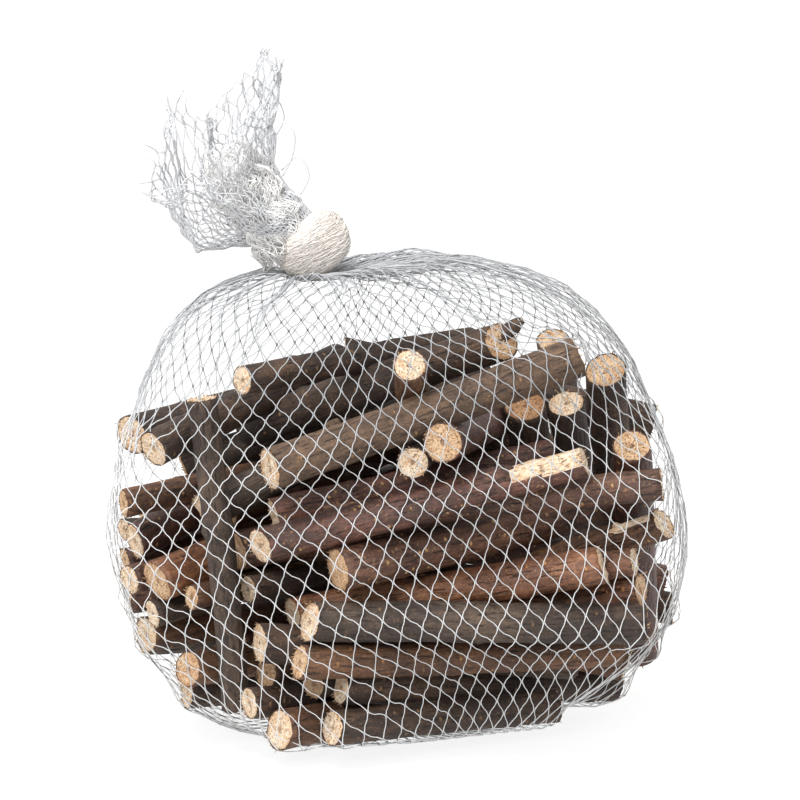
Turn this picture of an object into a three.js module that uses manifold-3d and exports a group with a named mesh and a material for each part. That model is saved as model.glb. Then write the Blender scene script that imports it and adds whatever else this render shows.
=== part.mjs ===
// A bag of white tubular netting, knotted at the neck, holding short lengths of cut branch.
// Millimetres, +Z up, X to the right and Y away from the front of the bag.
// The origin is the middle of the bounding box, on the surface that the bag stands on.

import * as THREE from "three";
import { mergeVertices } from "three/addons/utils/BufferGeometryUtils.js";
import Module from "manifold-3d";

const wasm = await Module();
wasm.setup();

// The front view that the places of the twigs are measured in. `across` and `up` are millimetres on
// the picture plane through the middle of the bag, and `back` is the distance behind that middle.
const VIEW_DISTANCE = 900;
const VIEW_ELEVATION = THREE.MathUtils.degToRad(10);
const VIEW_MIDDLE_HEIGHT = 101.5;

// Twigs
const TWIG_LENGTH = 100;
const TWIG_SIDES = 8;
const TWIG_SEGMENTS = 2;
const BEND = 0.5; // how far the middle of a twig strays from a straight line
const OVALITY = 0.04;
const TAPER = 0.05;
const SLOPE_OF_CUT = 0.14; // rise of an end face over its width
const TWIG_GAP = 0.35;
const FLOOR_CLEARANCE = 2; // the net lies between the twigs and the floor

// Each row: [across, up, back] of the near end, [across, up] of the far end, thickness, and what differs.
const FRONT = [
  { near: [-22.2, -100, -44], far: [45.2, -92.6], thick: 11, length: 75 },
  { near: [-17.8, -89.2, -36], far: [66.8, -88.6], thick: 9.6 },
  { near: [-30.5, -79.7, -40], far: [64, -76.9], thick: 10.6 },
  { near: [-24.6, -69.2, -44], far: [70.8, -65.2], thick: 12.8 },
  { near: [-33.5, -62.8, -43], far: [63.4, -49.2], thick: 12.6 },
  { near: [-15.7, -49.8, -46], far: [64, -31.7], thick: 13.6 },
  { near: [79, -34.5, -20], far: [-5, -57], thick: 10.8, held: [1.5, 0] },
  { near: [-38.8, -49.8, -45], far: [53, -21], thick: 11.2 },
  { near: [-48.3, -49.8, -30], far: [45, -27], thick: 13 },
  { near: [-40.6, -33.8, -26], far: [56.3, -17.2], thick: 12 },
  { near: [-39, -22.5, -42], far: [53, 12.3], thick: 13.2, held: [1.5, 1.5] },
  { near: [78.5, -26.8, -26], far: [0, -42], thick: 10.2, held: [1.5, 0] },
];
const LEFT = [
  { near: [-79.7, -18.8, -20], far: [0, 6], thick: 13.2, held: [1, 1] },
  { near: [-72.9, -19.4, -26], far: [-15.4, -4.6], thick: 11.6 },
  { near: [-86.5, -31.7, -5], far: [-4.6, -9.8], thick: 9.2 },
  { near: [-84.3, -39, 2], far: [-4.6, -17], thick: 7.4 },
  { near: [-81.2, -41.8, -14], far: [-8.9, -9.2], thick: 12 },
  { near: [-73.8, -54.8, -24], far: [-1.5, -23], thick: 13.6 },
  { near: [-74.5, -63.7, -14], far: [-1.5, -40], thick: 9.2 },
  { near: [-75, -73.2, -14], far: [0, -61.5], thick: 11.4 },
  { near: [-61.8, -60.6, -12], far: [6.2, -43], thick: 8 },
  { near: [-61.8, -83, -18], far: [6.2, -73.8], thick: 11.4 },
  { near: [-81, -54.5, -2], far: [-9.2, -37], thick: 9.6 },
  { near: [-82, -46.8, 6], far: [-6.2, -27.7], thick: 7.4 },
  { near: [-47.7, 3.7, -4], far: [22, 14], thick: 9.2, held: [1.5, 1] },
  { near: [-60, -25.8, -6], far: [17, 8.6], thick: 12 },
  { near: [-53.8, -37, -8], far: [21.5, -3], thick: 11.4 },
];
const LOW = [
  { near: [-42.2, -74.5, -30], far: [31, -67.7], thick: 13 },
  { near: [-39.7, -82.5, -28], far: [25, -80], thick: 10.2 },
  { near: [-46.2, -73.8, -15], far: [6, -69], thick: 8 },
  { near: [-46.2, -57.8, -22], far: [15.4, -52.3], thick: 9 },
  { near: [-35.4, -98.5, -36], far: [3, -78.5], thick: 12.4 },
  { near: [-25, -88, -30], far: [30.8, -80], thick: 9.6 },
  { near: [-44.3, -89.2, -22], far: [0, -77], thick: 10.2 },
  { near: [-56.6, -83.7, -20], far: [-6, -73.8], thick: 9.6 },
];
const UPRIGHT = [
  { near: [-60.6, 0.9, -16], far: [-49.2, -95.4], thick: 9.4, length: 97 },
  { near: [62.5, 8.6, -4], far: [77.5, -70], thick: 13.2 },
  { near: [70.5, -14.5, -32], far: [80, -76], thick: 12.4 },
  { near: [50.8, 0.6, -18], far: [58.5, -61.5], thick: 10.2 },
  { near: [38, -4, -14], far: [49, -61.5], thick: 12.4, held: [2, 0.5] },
  { near: [47, 20.3, 0], far: [58.5, -49], thick: 10.2, held: [1.5, 0] },
];
const TOP = [
  { near: [12.6, -7.7, -42], far: [30.8, -12.3], thick: 12.4 },
  { near: [3.4, -20, -45], far: [12, -10], thick: 9.8 },
  { near: [2.5, 10.8, -44], far: [0, -25], thick: 10.2 },
  { near: [29.8, 22.5, -30], far: [-42, -13], thick: 11, held: [1.5, 1], stub: true },
];
const BEHIND = [
  { near: [71.7, -45.2, -20], far: [-14, -61.5], thick: 9.2 },
  { near: [72, -57.8, -16], far: [-16, -73.8], thick: 10.2 },
];

// Twigs at the back, out of sight from the front: one end and the way to the other, in millimetres.
const BACK = [
  { from: [-72, 24, 10], to: [28, 32, 9], thick: 12.4 },
  { from: [-16, 32, 22], to: [80, 22, 14], thick: 11.6 },
  { from: [-80, 16, 24], to: [12, 36, 30], thick: 12.8 },
  { from: [-18, 36, 40], to: [76, 28, 30], thick: 10.8 },
  { from: [-84, 14, 44], to: [8, 34, 52], thick: 12.2 },
  { from: [-14, 36, 62], to: [82, 20, 52], thick: 13 },
  { from: [-80, 18, 64], to: [12, 34, 76], thick: 10.6 },
  { from: [-22, 34, 84], to: [72, 22, 76], thick: 12.4 },
  { from: [-68, 26, 82], to: [24, 42, 92], thick: 11.8 },
  { from: [-8, 40, 90], to: [80, 14, 80], thick: 11.2 },
];

// The side branch's stub: how far along the twig, which way it points, and [along, radius] of its sections.
const STUB_PLACE = 6;
const STUB_WAY = [0.8, 0.15, 0.58];
const STUB_SECTIONS = [
  [0, 3.4],
  [6, 2.7],
  [12.5, 1.7],
];
const STUB_SIDES = 6;

// The net. Strands are drawn out into a diamond mesh, three times as coarse as the real one.
const POUCH_COLUMNS = 24;
const STRAND_THICKNESS = 1.6;
const CROSSING_HALF_WIDTH = 1.2;
const CROSSING_HALF_HEIGHT = 2.2;
const NARROWEST_SHARE = 0.15; // of the space between the crossings on each side
const STRAND_CLEARANCE = 1.9; // from a twig's surface to the middle of a strand
const FLAT_END_SHARE = 0.55; // of a twig's radius, by which the reach about its ends is drawn in
const CLEARING_STEPS = 16;
const DRAWN_ALONG = 0.8; // share of its neighbours' mean move that a crossing follows
const FLOOR_ROWS = 2; // the first rows lie flat on the floor
const LOWEST_CROSSING = 3.2; // height of the lowest crossing above those rows
// Each row of crossings: its height, its left and right ends, its half depth, and how square its plan is.
const POUCH_ROWS = [
  { up: 0.8, left: -26, right: 26, deep: 18, square: 2 },
  { up: 0.8, left: -52, right: 52, deep: 36, square: 2.2 },
  { up: 8, left: -70, right: 68, deep: 50, square: 2.8 },
  { up: 23, left: -80, right: 79.5, deep: 58, square: 3.2 },
  { up: 41, left: -86, right: 86, deep: 62, square: 3.8 },
  { up: 60, left: -89.2, right: 89, deep: 63, square: 4 },
  { up: 79, left: -88, right: 87, deep: 63, square: 4 },
  { up: 98, left: -82.5, right: 80.5, deep: 62, square: 3.6 },
  { up: 114, left: -74, right: 72, deep: 57, square: 3 },
  { up: 127, left: -63, right: 61, deep: 47, square: 2.3 },
  { up: 137, left: -50, right: 45, deep: 34, square: 2, rise: 1.5 },
  { up: 142, left: -39, right: 14, deep: 20, square: 2, rise: 1.5 },
  { up: 138.4, left: -33, right: -18, deep: 7.5, square: 2 },
];
const PAD_MIDDLE = [0, 0, 0]; // middle of the closed end, which the bag stands on
const NECK_MIDDLE = [-25.5, 0, 139.2]; // top of the gathered neck

// The knot: an overhand knot of the gathered netting, a lump with slanting ridges.
const KNOT_MIDDLE = [-26.2, 0, 148.6];
const KNOT_HALF_SIZES = [13.4, 11.4, 9];
const KNOT_COLUMNS = 18;
const KNOT_BANDS = 10;
const RIDGES = 3;
const RIDGE_TWIST = 1.3;
const RIDGE_DEPTH = 0.07;

// The tail: loose netting above the knot, flared into two wings. Each loop of the flare runs from the
// right wing round the back, as [x, y, z].
const TAIL_COLUMNS = 12;
const TAIL_ROWS = 6;
const TAIL_LOOPS = [
  [
    [-28.4, 0, 161.2],
    [-33.6, 6, 157.8],
    [-38.8, 0, 154.4],
    [-33.6, -6, 157.8],
  ],
  [
    [-38, 0, 179],
    [-50, 12, 168],
    [-63.5, 0, 154.5],
    [-51, -12, 163],
  ],
  [
    [-38, 0, 208.6],
    [-47, 8, 203],
    [-58, 12, 189],
    [-70, 9, 190],
    [-77.6, 0, 178],
    [-71, -10, 168],
    [-56, -13, 180],
    [-44, -8, 195],
  ],
];
const TAIL_ROOT = [-33.6, 0, 157.8];
const TAIL_AXIS = [-0.55, 0, 0.84];
const TAIL_THICKNESS = 1.2;

const BARK_COLOURS = ["#4a3c32", "#5b4536", "#4d3536", "#6e5744", "#3f3835"];
const NET_COLOUR = "#eeebe4";

const GOLDEN_ANGLE = 2.4;
const CUT_TURN = 1.7;

// Settling: the twigs push each other apart, mostly in depth, until none touch.
// Each phase: how many steps, how far sideways they give way, and how hard they are pulled back.
const SETTLING = [
  { steps: 500, sideways: 0.3, home: 0.15, inward: 0.004 },
  { steps: 600, sideways: 0.6, home: 0.08, inward: 0.002 },
  { steps: 500, sideways: 1, home: 0.02, inward: 0.001 },
  { steps: 250, sideways: 1, home: 0, inward: 0 },
];
const INWARD_SPARED = 0.8; // share of the inward pull that a firmly held end is spared
// The space the twigs stay in: a plan with round corners, narrower next to the floor.
const HALF_WIDTH = 87.5;
const FLOOR_HALF_WIDTH = 78;
const FLOOR_ZONE = 24; // height of the narrower part
const PLAN_WIDTH = 92;
const HALF_DEPTH = 60;
const TOP_HEIGHT = 128;

const eye = new THREE.Vector3(
  0,
  -VIEW_DISTANCE * Math.cos(VIEW_ELEVATION),
  VIEW_MIDDLE_HEIGHT + VIEW_DISTANCE * Math.sin(VIEW_ELEVATION),
);
const viewUp = new THREE.Vector3(0, Math.sin(VIEW_ELEVATION), Math.cos(VIEW_ELEVATION));

// The line of sight through a place in the front view.
function sightLine(across, up) {
  const plane = new THREE.Vector3(across, 0, VIEW_MIDDLE_HEIGHT).addScaledVector(viewUp, up);
  return plane.sub(eye);
}

// The point seen at [across, up] that lies `back` behind the middle of the bag.
function seen([across, up, back]) {
  const sight = sightLine(across, up);
  return eye.clone().addScaledVector(sight, (back - eye.y) / sight.y);
}

// The far end of a twig: on its line of sight, one length behind the near end.
function farEnd(near, [across, up], length) {
  const sight = sightLine(across, up).normalize();
  const toNear = near.clone().sub(eye);
  const along = toNear.dot(sight);
  const aside = toNear.lengthSq() - along * along;
  const reach = Math.sqrt(Math.max(length * length - aside, 0));
  return eye.clone().addScaledVector(sight, along + reach);
}

// `held` says how firmly each end stays where the front view shows it.
function makeTwig(name, near, far, length, thick, held, stub) {
  const ends = [near, far];
  const home = ends.map((end) => end.clone());
  return { name, ends, home, length, radius: thick / 2, held, stub };
}

function layTwigs(rows, region, held) {
  return rows.map((row, i) => {
    const name = `twig_${region}_${String(i + 1).padStart(2, "0")}`;
    const length = row.length ?? TWIG_LENGTH;
    const hold = row.held ?? held;
    const stub = row.stub ?? false;
    if (row.from) {
      const near = new THREE.Vector3(...row.from);
      const way = new THREE.Vector3(...row.to).sub(near).setLength(length);
      return makeTwig(name, near, near.clone().add(way), length, row.thick, hold, stub);
    }
    const near = seen(row.near);
    return makeTwig(name, near, farEnd(near, row.far, length), length, row.thick, hold, stub);
  });
}

// The places along two segments, as shares of their lengths, where they come closest.
function closestShares([p, p2], [q, q2]) {
  const d1 = p2.clone().sub(p);
  const d2 = q2.clone().sub(q);
  const r = p.clone().sub(q);
  const a = d1.dot(d1);
  const e = d2.dot(d2);
  const f = d2.dot(r);
  const c = d1.dot(r);
  const b = d1.dot(d2);
  const flat = a * e - b * b;
  const clamp = (x) => Math.min(Math.max(x, 0), 1);
  let s = flat > 1e-6 * a * e ? clamp((b * f - c * e) / flat) : 0.5;
  let t = (b * s + f) / e;
  if (t < 0 || t > 1) {
    t = clamp(t);
    s = clamp((b * t - c) / a);
  }
  return [s, t];
}

const pointAt = ([a, b], share) => a.clone().lerp(b, share);

function shift(twig, share, move) {
  twig.ends[0].addScaledVector(move, 1 - share);
  twig.ends[1].addScaledVector(move, share);
}

function pushApart(one, other, sideways) {
  const [s, t] = closestShares(one.ends, other.ends);
  const away = pointAt(one.ends, s).sub(pointAt(other.ends, t));
  const need = one.radius + other.radius + TWIG_GAP;
  const distance = away.length();
  if (distance >= need) return;
  if (distance < 1e-6) away.set(0, 1, 0);
  away.setLength((need - distance) / 2);
  away.x *= sideways;
  away.z *= sideways;
  shift(one, s, away);
  shift(other, t, away.clone().negate());
}

function restoreLength(twig) {
  const middle = pointAt(twig.ends, 0.5);
  const half = twig.ends[1].clone().sub(twig.ends[0]).setLength(twig.length / 2);
  twig.ends[0].copy(middle).sub(half);
  twig.ends[1].copy(middle).add(half);
}

function goHome(twig, phase) {
  for (const [i, end] of twig.ends.entries()) {
    const move = twig.home[i].clone().sub(end);
    const sight = end.clone().sub(eye).normalize();
    move.addScaledVector(sight, -move.dot(sight));
    end.addScaledVector(move, phase.home * twig.held[i]);
    end.y -= phase.inward * (1 - INWARD_SPARED * twig.held[i]) * end.y;
  }
}

// Keeps both ends over the floor and within the pouch.
function contain(twig) {
  const way = twig.ends[1].clone().sub(twig.ends[0]).normalize();
  const rim = twig.radius * Math.sqrt(1 - way.x * way.x); // how far an end's rim stands out sideways
  for (const end of twig.ends) {
    end.z = THREE.MathUtils.clamp(end.z, twig.radius + FLOOR_CLEARANCE, TOP_HEIGHT - twig.radius);
    const widest = (end.z < FLOOR_ZONE ? FLOOR_HALF_WIDTH : HALF_WIDTH) - rim;
    end.x = THREE.MathUtils.clamp(end.x, -widest, widest);
    const aside = end.x / PLAN_WIDTH;
    const behind = end.y / (HALF_DEPTH - twig.radius);
    const reach = Math.hypot(aside ** 2, behind ** 2);
    if (reach > 1) end.y /= 1 + 0.5 * (reach - 1);
  }
}

function settle(twigs) {
  for (const phase of SETTLING) {
    for (let step = 0; step < phase.steps; step += 1) {
      twigs.forEach((one, i) => {
        twigs.slice(i + 1).forEach((other) => pushApart(one, other, phase.sideways));
      });
      twigs.forEach((twig) => goHome(twig, phase));
      twigs.forEach(contain);
      twigs.forEach(restoreLength);
    }
  }
}

const twigs = [
  ...layTwigs(FRONT, "front", [1, 1]),
  ...layTwigs(LEFT, "left", [1, 0.3]),
  ...layTwigs(LOW, "low", [1, 0.05]),
  ...layTwigs(UPRIGHT, "upright", [1, 0.5]),
  ...layTwigs(TOP, "top", [1, 0.3]),
  ...layTwigs(BEHIND, "behind", [1, 0]),
  ...layTwigs(BACK, "back", [0.1, 0.1]),
];
settle(twigs);

// A closed body from its vertices and its triangles.
function bodyOf(vertices, triangles) {
  const positions = new Float32Array(vertices.flatMap((v) => v.toArray()));
  const geometry = new THREE.BufferGeometry();
  geometry.setAttribute("position", new THREE.BufferAttribute(positions, 3));
  geometry.setIndex(triangles.flat());
  return geometry;
}

// A ring of a tube: vertices about `middle` in the plane of `side` and `other`.
function ringOf(middle, side, other, sides, radiusAt) {
  return Array.from({ length: sides }, (_, i) => {
    const angle = (2 * Math.PI * i) / sides;
    const radius = radiusAt(angle);
    return middle
      .clone()
      .addScaledVector(side, radius * Math.cos(angle))
      .addScaledVector(other, radius * Math.sin(angle));
  });
}

// A closed tube through rings of equal count, each turning the same way about the way it runs.
function tubeOf(rings) {
  const sides = rings[0].length;
  const triangles = [];
  for (let k = 0; k + 1 < rings.length; k += 1) {
    for (let i = 0; i < sides; i += 1) {
      const a = k * sides + i;
      const b = k * sides + ((i + 1) % sides);
      triangles.push([a, b, b + sides], [a, b + sides, a + sides]);
    }
  }
  const last = (rings.length - 1) * sides;
  for (let i = 1; i + 1 < sides; i += 1) {
    triangles.push([0, i + 1, i], [last, last + i, last + i + 1]);
  }
  return bodyOf(rings.flat(), triangles);
}

function solidOf(geometry) {
  const clean = new THREE.BufferGeometry();
  clean.setAttribute("position", geometry.getAttribute("position"));
  clean.setIndex(geometry.getIndex());
  const merged = mergeVertices(clean, 1e-3);
  return new wasm.Manifold(
    new wasm.Mesh({
      numProp: 3,
      vertProperties: merged.getAttribute("position").array,
      triVerts: new Uint32Array(merged.getIndex().array),
    }),
  );
}

function geometryOf(solid) {
  const mesh = solid.getMesh();
  const geometry = new THREE.BufferGeometry();
  geometry.setAttribute("position", new THREE.BufferAttribute(mesh.vertProperties, 3));
  geometry.setIndex(new THREE.BufferAttribute(mesh.triVerts, 1));
  return geometry;
}

// Two directions at right angles to `axis` and to each other.
function crossDirections(axis) {
  const up = Math.abs(axis.z) < 0.9 ? new THREE.Vector3(0, 0, 1) : new THREE.Vector3(0, 1, 0);
  const side = new THREE.Vector3().crossVectors(up, axis).normalize();
  return [side, new THREE.Vector3().crossVectors(axis, side)];
}

// A twig: a slightly bent, oval, tapering stick with slanting cut ends.
function twigGeometry(twig, number) {
  const [near, far] = twig.ends;
  const axis = far.clone().sub(near).normalize();
  const [side, other] = crossDirections(axis);
  const bendWay = number * GOLDEN_ANGLE;
  const bend = side.clone().multiplyScalar(Math.cos(bendWay)).addScaledVector(other, Math.sin(bendWay));
  const rings = [];
  for (let k = 0; k <= TWIG_SEGMENTS; k += 1) {
    const share = k / TWIG_SEGMENTS;
    const arch = Math.sin(Math.PI * share);
    const middle = near.clone().lerp(far, share).addScaledVector(bend, BEND * arch);
    const size = twig.radius * (1 - TAPER * share) - BEND * arch;
    const ring = ringOf(middle, side, other, TWIG_SIDES, (angle) => {
      return size * (1 - OVALITY * Math.cos(angle + bendWay) ** 2);
    });
    if (k === 0 || k === TWIG_SEGMENTS) {
      const slope = SLOPE_OF_CUT * Math.cos(number * CUT_TURN + k);
      ring.forEach((v) => v.addScaledVector(axis, slope * v.clone().sub(middle).dot(side)));
    }
    rings.push(ring);
  }
  return tubeOf(rings);
}

// Where a side branch's stub starts, near the end that faces the front, and the way it points.
function stubLine(twig) {
  const [near, far] = twig.ends;
  const axis = far.clone().sub(near).normalize();
  return [near.clone().addScaledVector(axis, STUB_PLACE), new THREE.Vector3(...STUB_WAY).normalize()];
}

// The stub, grown into its twig.
function withStub(geometry, twig) {
  const [root, way] = stubLine(twig);
  const [side, other] = crossDirections(way);
  const rings = STUB_SECTIONS.map(([along, radius]) => {
    const middle = root.clone().addScaledVector(way, along);
    return ringOf(middle, side, other, STUB_SIDES, () => radius);
  });
  return geometryOf(solidOf(geometry).add(solidOf(tubeOf(rings))));
}

// Rows of crossings of a net. A row's crossings lie half a space round from the row below.
function pouchRows() {
  return POUCH_ROWS.map((row, j) => {
    const middle = (row.left + row.right) / 2;
    const half = (row.right - row.left) / 2;
    const shiftRound = j % 2 ? 0.5 : 0;
    return Array.from({ length: POUCH_COLUMNS }, (_, i) => {
      const angle = (2 * Math.PI * (i + shiftRound)) / POUCH_COLUMNS;
      const cos = Math.cos(angle);
      const sin = Math.sin(angle);
      const power = 2 / row.square;
      return new THREE.Vector3(
        middle + half * Math.sign(cos) * Math.abs(cos) ** power,
        row.deep * Math.sign(sin) * Math.abs(sin) ** power,
        row.up + (row.rise ?? 0) * cos,
      );
    });
  });
}

// The four crossings next to crossing i of row j, by the row's parity.
function neighbours(rows, i, j) {
  const count = rows[0].length;
  const step = j % 2;
  const pick = (row, k) => rows[row]?.[(k + count) % count];
  return {
    east: pick(j, i + 1),
    west: pick(j, i - 1),
    above: [pick(j + 1, i - 1 + step), pick(j + 1, i + step)],
    below: [pick(j - 1, i - 1 + step), pick(j - 1, i + step)],
  };
}

// The way out of the net at a crossing, the way round it and the way up along it.
function crossingFrame(rows, i, j) {
  const near = neighbours(rows, i, j);
  const here = rows[j][i];
  const halfway = (pair) => (pair[0] ? pair[0].clone().add(pair[1]).multiplyScalar(0.5) : here);
  const round = near.east.clone().sub(near.west).normalize();
  const up = halfway(near.above).clone().sub(halfway(near.below));
  up.addScaledVector(round, -up.dot(round)).normalize();
  return { round, up, out: new THREE.Vector3().crossVectors(round, up) };
}

// The twigs and the stubs as the net meets them, each the ends of a line and the reach about it.
// The line is shorter than its twig, because the reach about its ends is round and a cut end is flat.
function sticks() {
  const bodies = twigs.map(({ ends, radius, length }) => {
    const inset = (FLAT_END_SHARE * radius) / length;
    return { ends: [pointAt(ends, inset), pointAt(ends, 1 - inset)], radius };
  });
  const [last, thick] = [STUB_SECTIONS.at(-1)[0], STUB_SECTIONS[0][1]];
  const stubs = twigs.filter((twig) => twig.stub).map((twig) => {
    const [root, way] = stubLine(twig);
    return { ends: [root, root.clone().addScaledVector(way, last)], radius: thick };
  });
  return [...bodies, ...stubs];
}

// Moves the crossings outwards until each strand clears each twig, and draws their neighbours after them.
// The rows on the floor stay.
function clearTwigs(rows) {
  const contents = sticks();
  const count = POUCH_COLUMNS;
  const base = rows.map((row) => row.map((here) => here.clone()));
  const ways = rows.map((row, j) => row.map((_, i) => crossingFrame(rows, i, j).out));
  const moves = rows.map((row) => row.map(() => 0));
  const place = (j, i, move) => {
    if (j < FLOOR_ROWS || move <= moves[j][i]) return;
    moves[j][i] = move;
    rows[j][i].copy(base[j][i]).addScaledVector(ways[j][i], move);
    rows[j][i].z = Math.max(rows[j][i].z, LOWEST_CROSSING);
  };
  const clearStrand = (j, i, k) => {
    const strand = [rows[j][i], rows[j + 1][k]];
    for (const { ends, radius } of contents) {
      const [s, t] = closestShares(strand, ends);
      const away = pointAt(strand, s).distanceTo(pointAt(ends, t));
      const short = radius + STRAND_CLEARANCE - away;
      if (short <= 0) continue;
      place(j, i, moves[j][i] + short * (1 - s));
      place(j + 1, k, moves[j + 1][k] + short * s);
    }
  };
  for (let step = 0; step < CLEARING_STEPS; step += 1) {
    for (let j = FLOOR_ROWS - 1; j + 1 < rows.length; j += 1) {
      for (let i = 0; i < count; i += 1) {
        const right = (i + (j % 2)) % count;
        clearStrand(j, i, right);
        clearStrand(j, i, (right + count - 1) % count);
      }
    }
    for (let j = FLOOR_ROWS; j + 1 < rows.length; j += 1) {
      for (let i = 0; i < count; i += 1) {
        const beside = (moves[j][(i + 1) % count] + moves[j][(i + count - 1) % count]) / 2;
        place(j, i, DRAWN_ALONG * beside);
      }
    }
  }
}

// A net as one closed body: each crossing has a west, north, east and south corner, outside and inside.
// An end is closed by fans to `lowPole` or `topPole`, a pair of points outside and inside, or left open.
function netGeometry(rows, options) {
  const { thickness, lowPole, topPole, floor } = options;
  const count = rows[0].length;
  const vertices = [];
  const triangles = [];
  rows.forEach((row, j) => {
    row.forEach((here, i) => {
      const { round, up, out } = crossingFrame(rows, i, j);
      const near = neighbours(rows, i, j);
      const across = Math.min(options.halfWidth, NARROWEST_SHARE * near.east.distanceTo(near.west));
      const along = Math.min(options.halfHeight, across * options.halfHeight / options.halfWidth);
      const corners = [
        [round, -across],
        [up, along],
        [round, across],
        [up, -along],
      ];
      for (const side of [0.5, -0.5]) {
        for (const [way, reach] of corners) {
          const corner = here.clone().addScaledVector(way, reach);
          if (floor && j < FLOOR_ROWS) {
            corner.z = side > 0 ? 0 : thickness;
          } else {
            corner.addScaledVector(out, side * thickness);
          }
          vertices.push(corner);
        }
      }
    });
  });
  const WEST = 0;
  const NORTH = 1;
  const EAST = 2;
  const SOUTH = 3;
  const CORNERS = 4;
  const outer = (j, i, corner) => 2 * CORNERS * (j * count + ((i + count) % count)) + corner;
  const face = (...loop) => {
    for (let k = 1; k + 1 < loop.length; k += 1) {
      triangles.push([loop[0], loop[k], loop[k + 1]]);
      triangles.push([loop[0] + CORNERS, loop[k + 1] + CORNERS, loop[k] + CORNERS]);
    }
  };
  const wall = (a, b) => triangles.push([a, b + CORNERS, b], [a, a + CORNERS, b + CORNERS]);
  for (let j = 0; j < rows.length; j += 1) {
    for (let i = 0; i < count; i += 1) {
      face(outer(j, i, WEST), outer(j, i, SOUTH), outer(j, i, EAST), outer(j, i, NORTH));
      if (j + 1 === rows.length) continue;
      const right = i + (j % 2);
      const left = right - 1;
      face(outer(j, i, NORTH), outer(j, i, EAST), outer(j + 1, right, SOUTH), outer(j + 1, right, WEST));
      face(outer(j, i, WEST), outer(j, i, NORTH), outer(j + 1, left, EAST), outer(j + 1, left, SOUTH));
      if (j === 0) continue;
      const hole = [
        outer(j, i, EAST),
        outer(j - 1, right, NORTH),
        outer(j, i + 1, WEST),
        outer(j + 1, right, SOUTH),
      ];
      hole.forEach((corner, k) => wall(hole[(k + 1) % 4], corner));
    }
  }
  // The chain of corners that bounds the net at one end, running round it.
  const chain = (j, inner, tip) => {
    const step = j % 2;
    return Array.from({ length: count }, (_, i) => [
      outer(j, i, WEST),
      outer(j, i, tip),
      outer(j, i, EAST),
      outer(inner, i + step, tip),
    ]).flat();
  };
  const top = chain(rows.length - 1, rows.length - 2, NORTH);
  const low = chain(0, 1, SOUTH).reverse();
  for (const [loop, pole] of [
    [top, topPole],
    [low, lowPole],
  ]) {
    if (pole) vertices.push(...pole);
    const tip = vertices.length - 2;
    loop.forEach((a, k) => {
      const b = loop[(k + 1) % loop.length];
      if (pole) {
        triangles.push([a, b, tip]);
        triangles.push([b + CORNERS, a + CORNERS, tip + 1]);
      } else {
        wall(b, a);
      }
    });
  }
  return bodyOf(vertices, triangles);
}

function poleAt(middle, out, thickness) {
  const way = new THREE.Vector3(...out).setLength(thickness);
  const outside = new THREE.Vector3(...middle);
  return [outside, outside.clone().sub(way)];
}

function pouchGeometry() {
  const rows = pouchRows();
  clearTwigs(rows);
  return netGeometry(rows, {
    thickness: STRAND_THICKNESS,
    halfWidth: CROSSING_HALF_WIDTH,
    halfHeight: CROSSING_HALF_HEIGHT,
    lowPole: poleAt(PAD_MIDDLE, [0, 0, -1], STRAND_THICKNESS),
    topPole: poleAt(NECK_MIDDLE, [0, 0, 1], STRAND_THICKNESS),
    floor: true,
  });
}

function knotGeometry() {
  const geometry = new THREE.SphereGeometry(1, KNOT_COLUMNS, KNOT_BANDS);
  geometry.deleteAttribute("normal");
  geometry.deleteAttribute("uv");
  geometry.rotateX(Math.PI / 2);
  const merged = mergeVertices(geometry, 1e-3);
  const position = merged.getAttribute("position");
  for (let k = 0; k < position.count; k += 1) {
    const v = new THREE.Vector3().fromBufferAttribute(position, k);
    const turn = RIDGES * Math.atan2(v.y, v.x) + RIDGE_TWIST * Math.PI * v.z;
    const groove = RIDGE_DEPTH * Math.hypot(v.x, v.y) * (1 + Math.cos(turn));
    v.multiplyScalar(1 - groove).multiply(new THREE.Vector3(...KNOT_HALF_SIZES));
    v.add(new THREE.Vector3(...KNOT_MIDDLE));
    position.setXYZ(k, v.x, v.y, v.z);
  }
  return merged;
}

function tailGeometry() {
  const loops = TAIL_LOOPS.map((points) => {
    const loop = new THREE.CatmullRomCurve3(points.map((p) => new THREE.Vector3(...p)), true);
    return (share) => loop.getPoint(((share % 1) + 1) % 1);
  });
  const rows = Array.from({ length: TAIL_ROWS }, (_, j) => {
    const along = j / (TAIL_ROWS - 1);
    return Array.from({ length: TAIL_COLUMNS }, (_, i) => {
      const share = (i + (j % 2 ? 0.5 : 0)) / TAIL_COLUMNS;
      const meridian = new THREE.CatmullRomCurve3(loops.map((loop) => loop(share)));
      return meridian.getPoint(along);
    });
  });
  return netGeometry(rows, {
    thickness: TAIL_THICKNESS,
    halfWidth: CROSSING_HALF_WIDTH,
    halfHeight: CROSSING_HALF_HEIGHT,
    lowPole: poleAt(TAIL_ROOT, TAIL_AXIS.map((x) => -x), TAIL_THICKNESS),
    topPole: null,
    floor: false,
  });
}

function barkMaterial(number) {
  return new THREE.MeshStandardMaterial({
    color: BARK_COLOURS[number % BARK_COLOURS.length],
    roughness: 0.85,
    metalness: 0,
  });
}

function netMaterial() {
  return new THREE.MeshStandardMaterial({ color: NET_COLOUR, roughness: 0.5, metalness: 0 });
}

const group = new THREE.Group();

function add(name, geometry, material) {
  const mesh = new THREE.Mesh(geometry, material);
  mesh.name = name;
  group.add(mesh);
}

twigs.forEach((twig, number) => {
  const plain = twigGeometry(twig, number);
  add(twig.name, twig.stub ? withStub(plain, twig) : plain, barkMaterial(number));
});
add("net_pouch", pouchGeometry(), netMaterial());
add("net_knot", knotGeometry(), netMaterial());
add("net_tail", tailGeometry(), netMaterial());

// The middle of the bounding box goes to the origin.
const box = new THREE.Box3().setFromObject(group, true);
const middle = box.getCenter(new THREE.Vector3());
group.position.set(-middle.x, -middle.y, 0);

export default group;
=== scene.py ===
import math

import bpy
import numpy as np
from mathutils import Matrix, Vector


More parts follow.
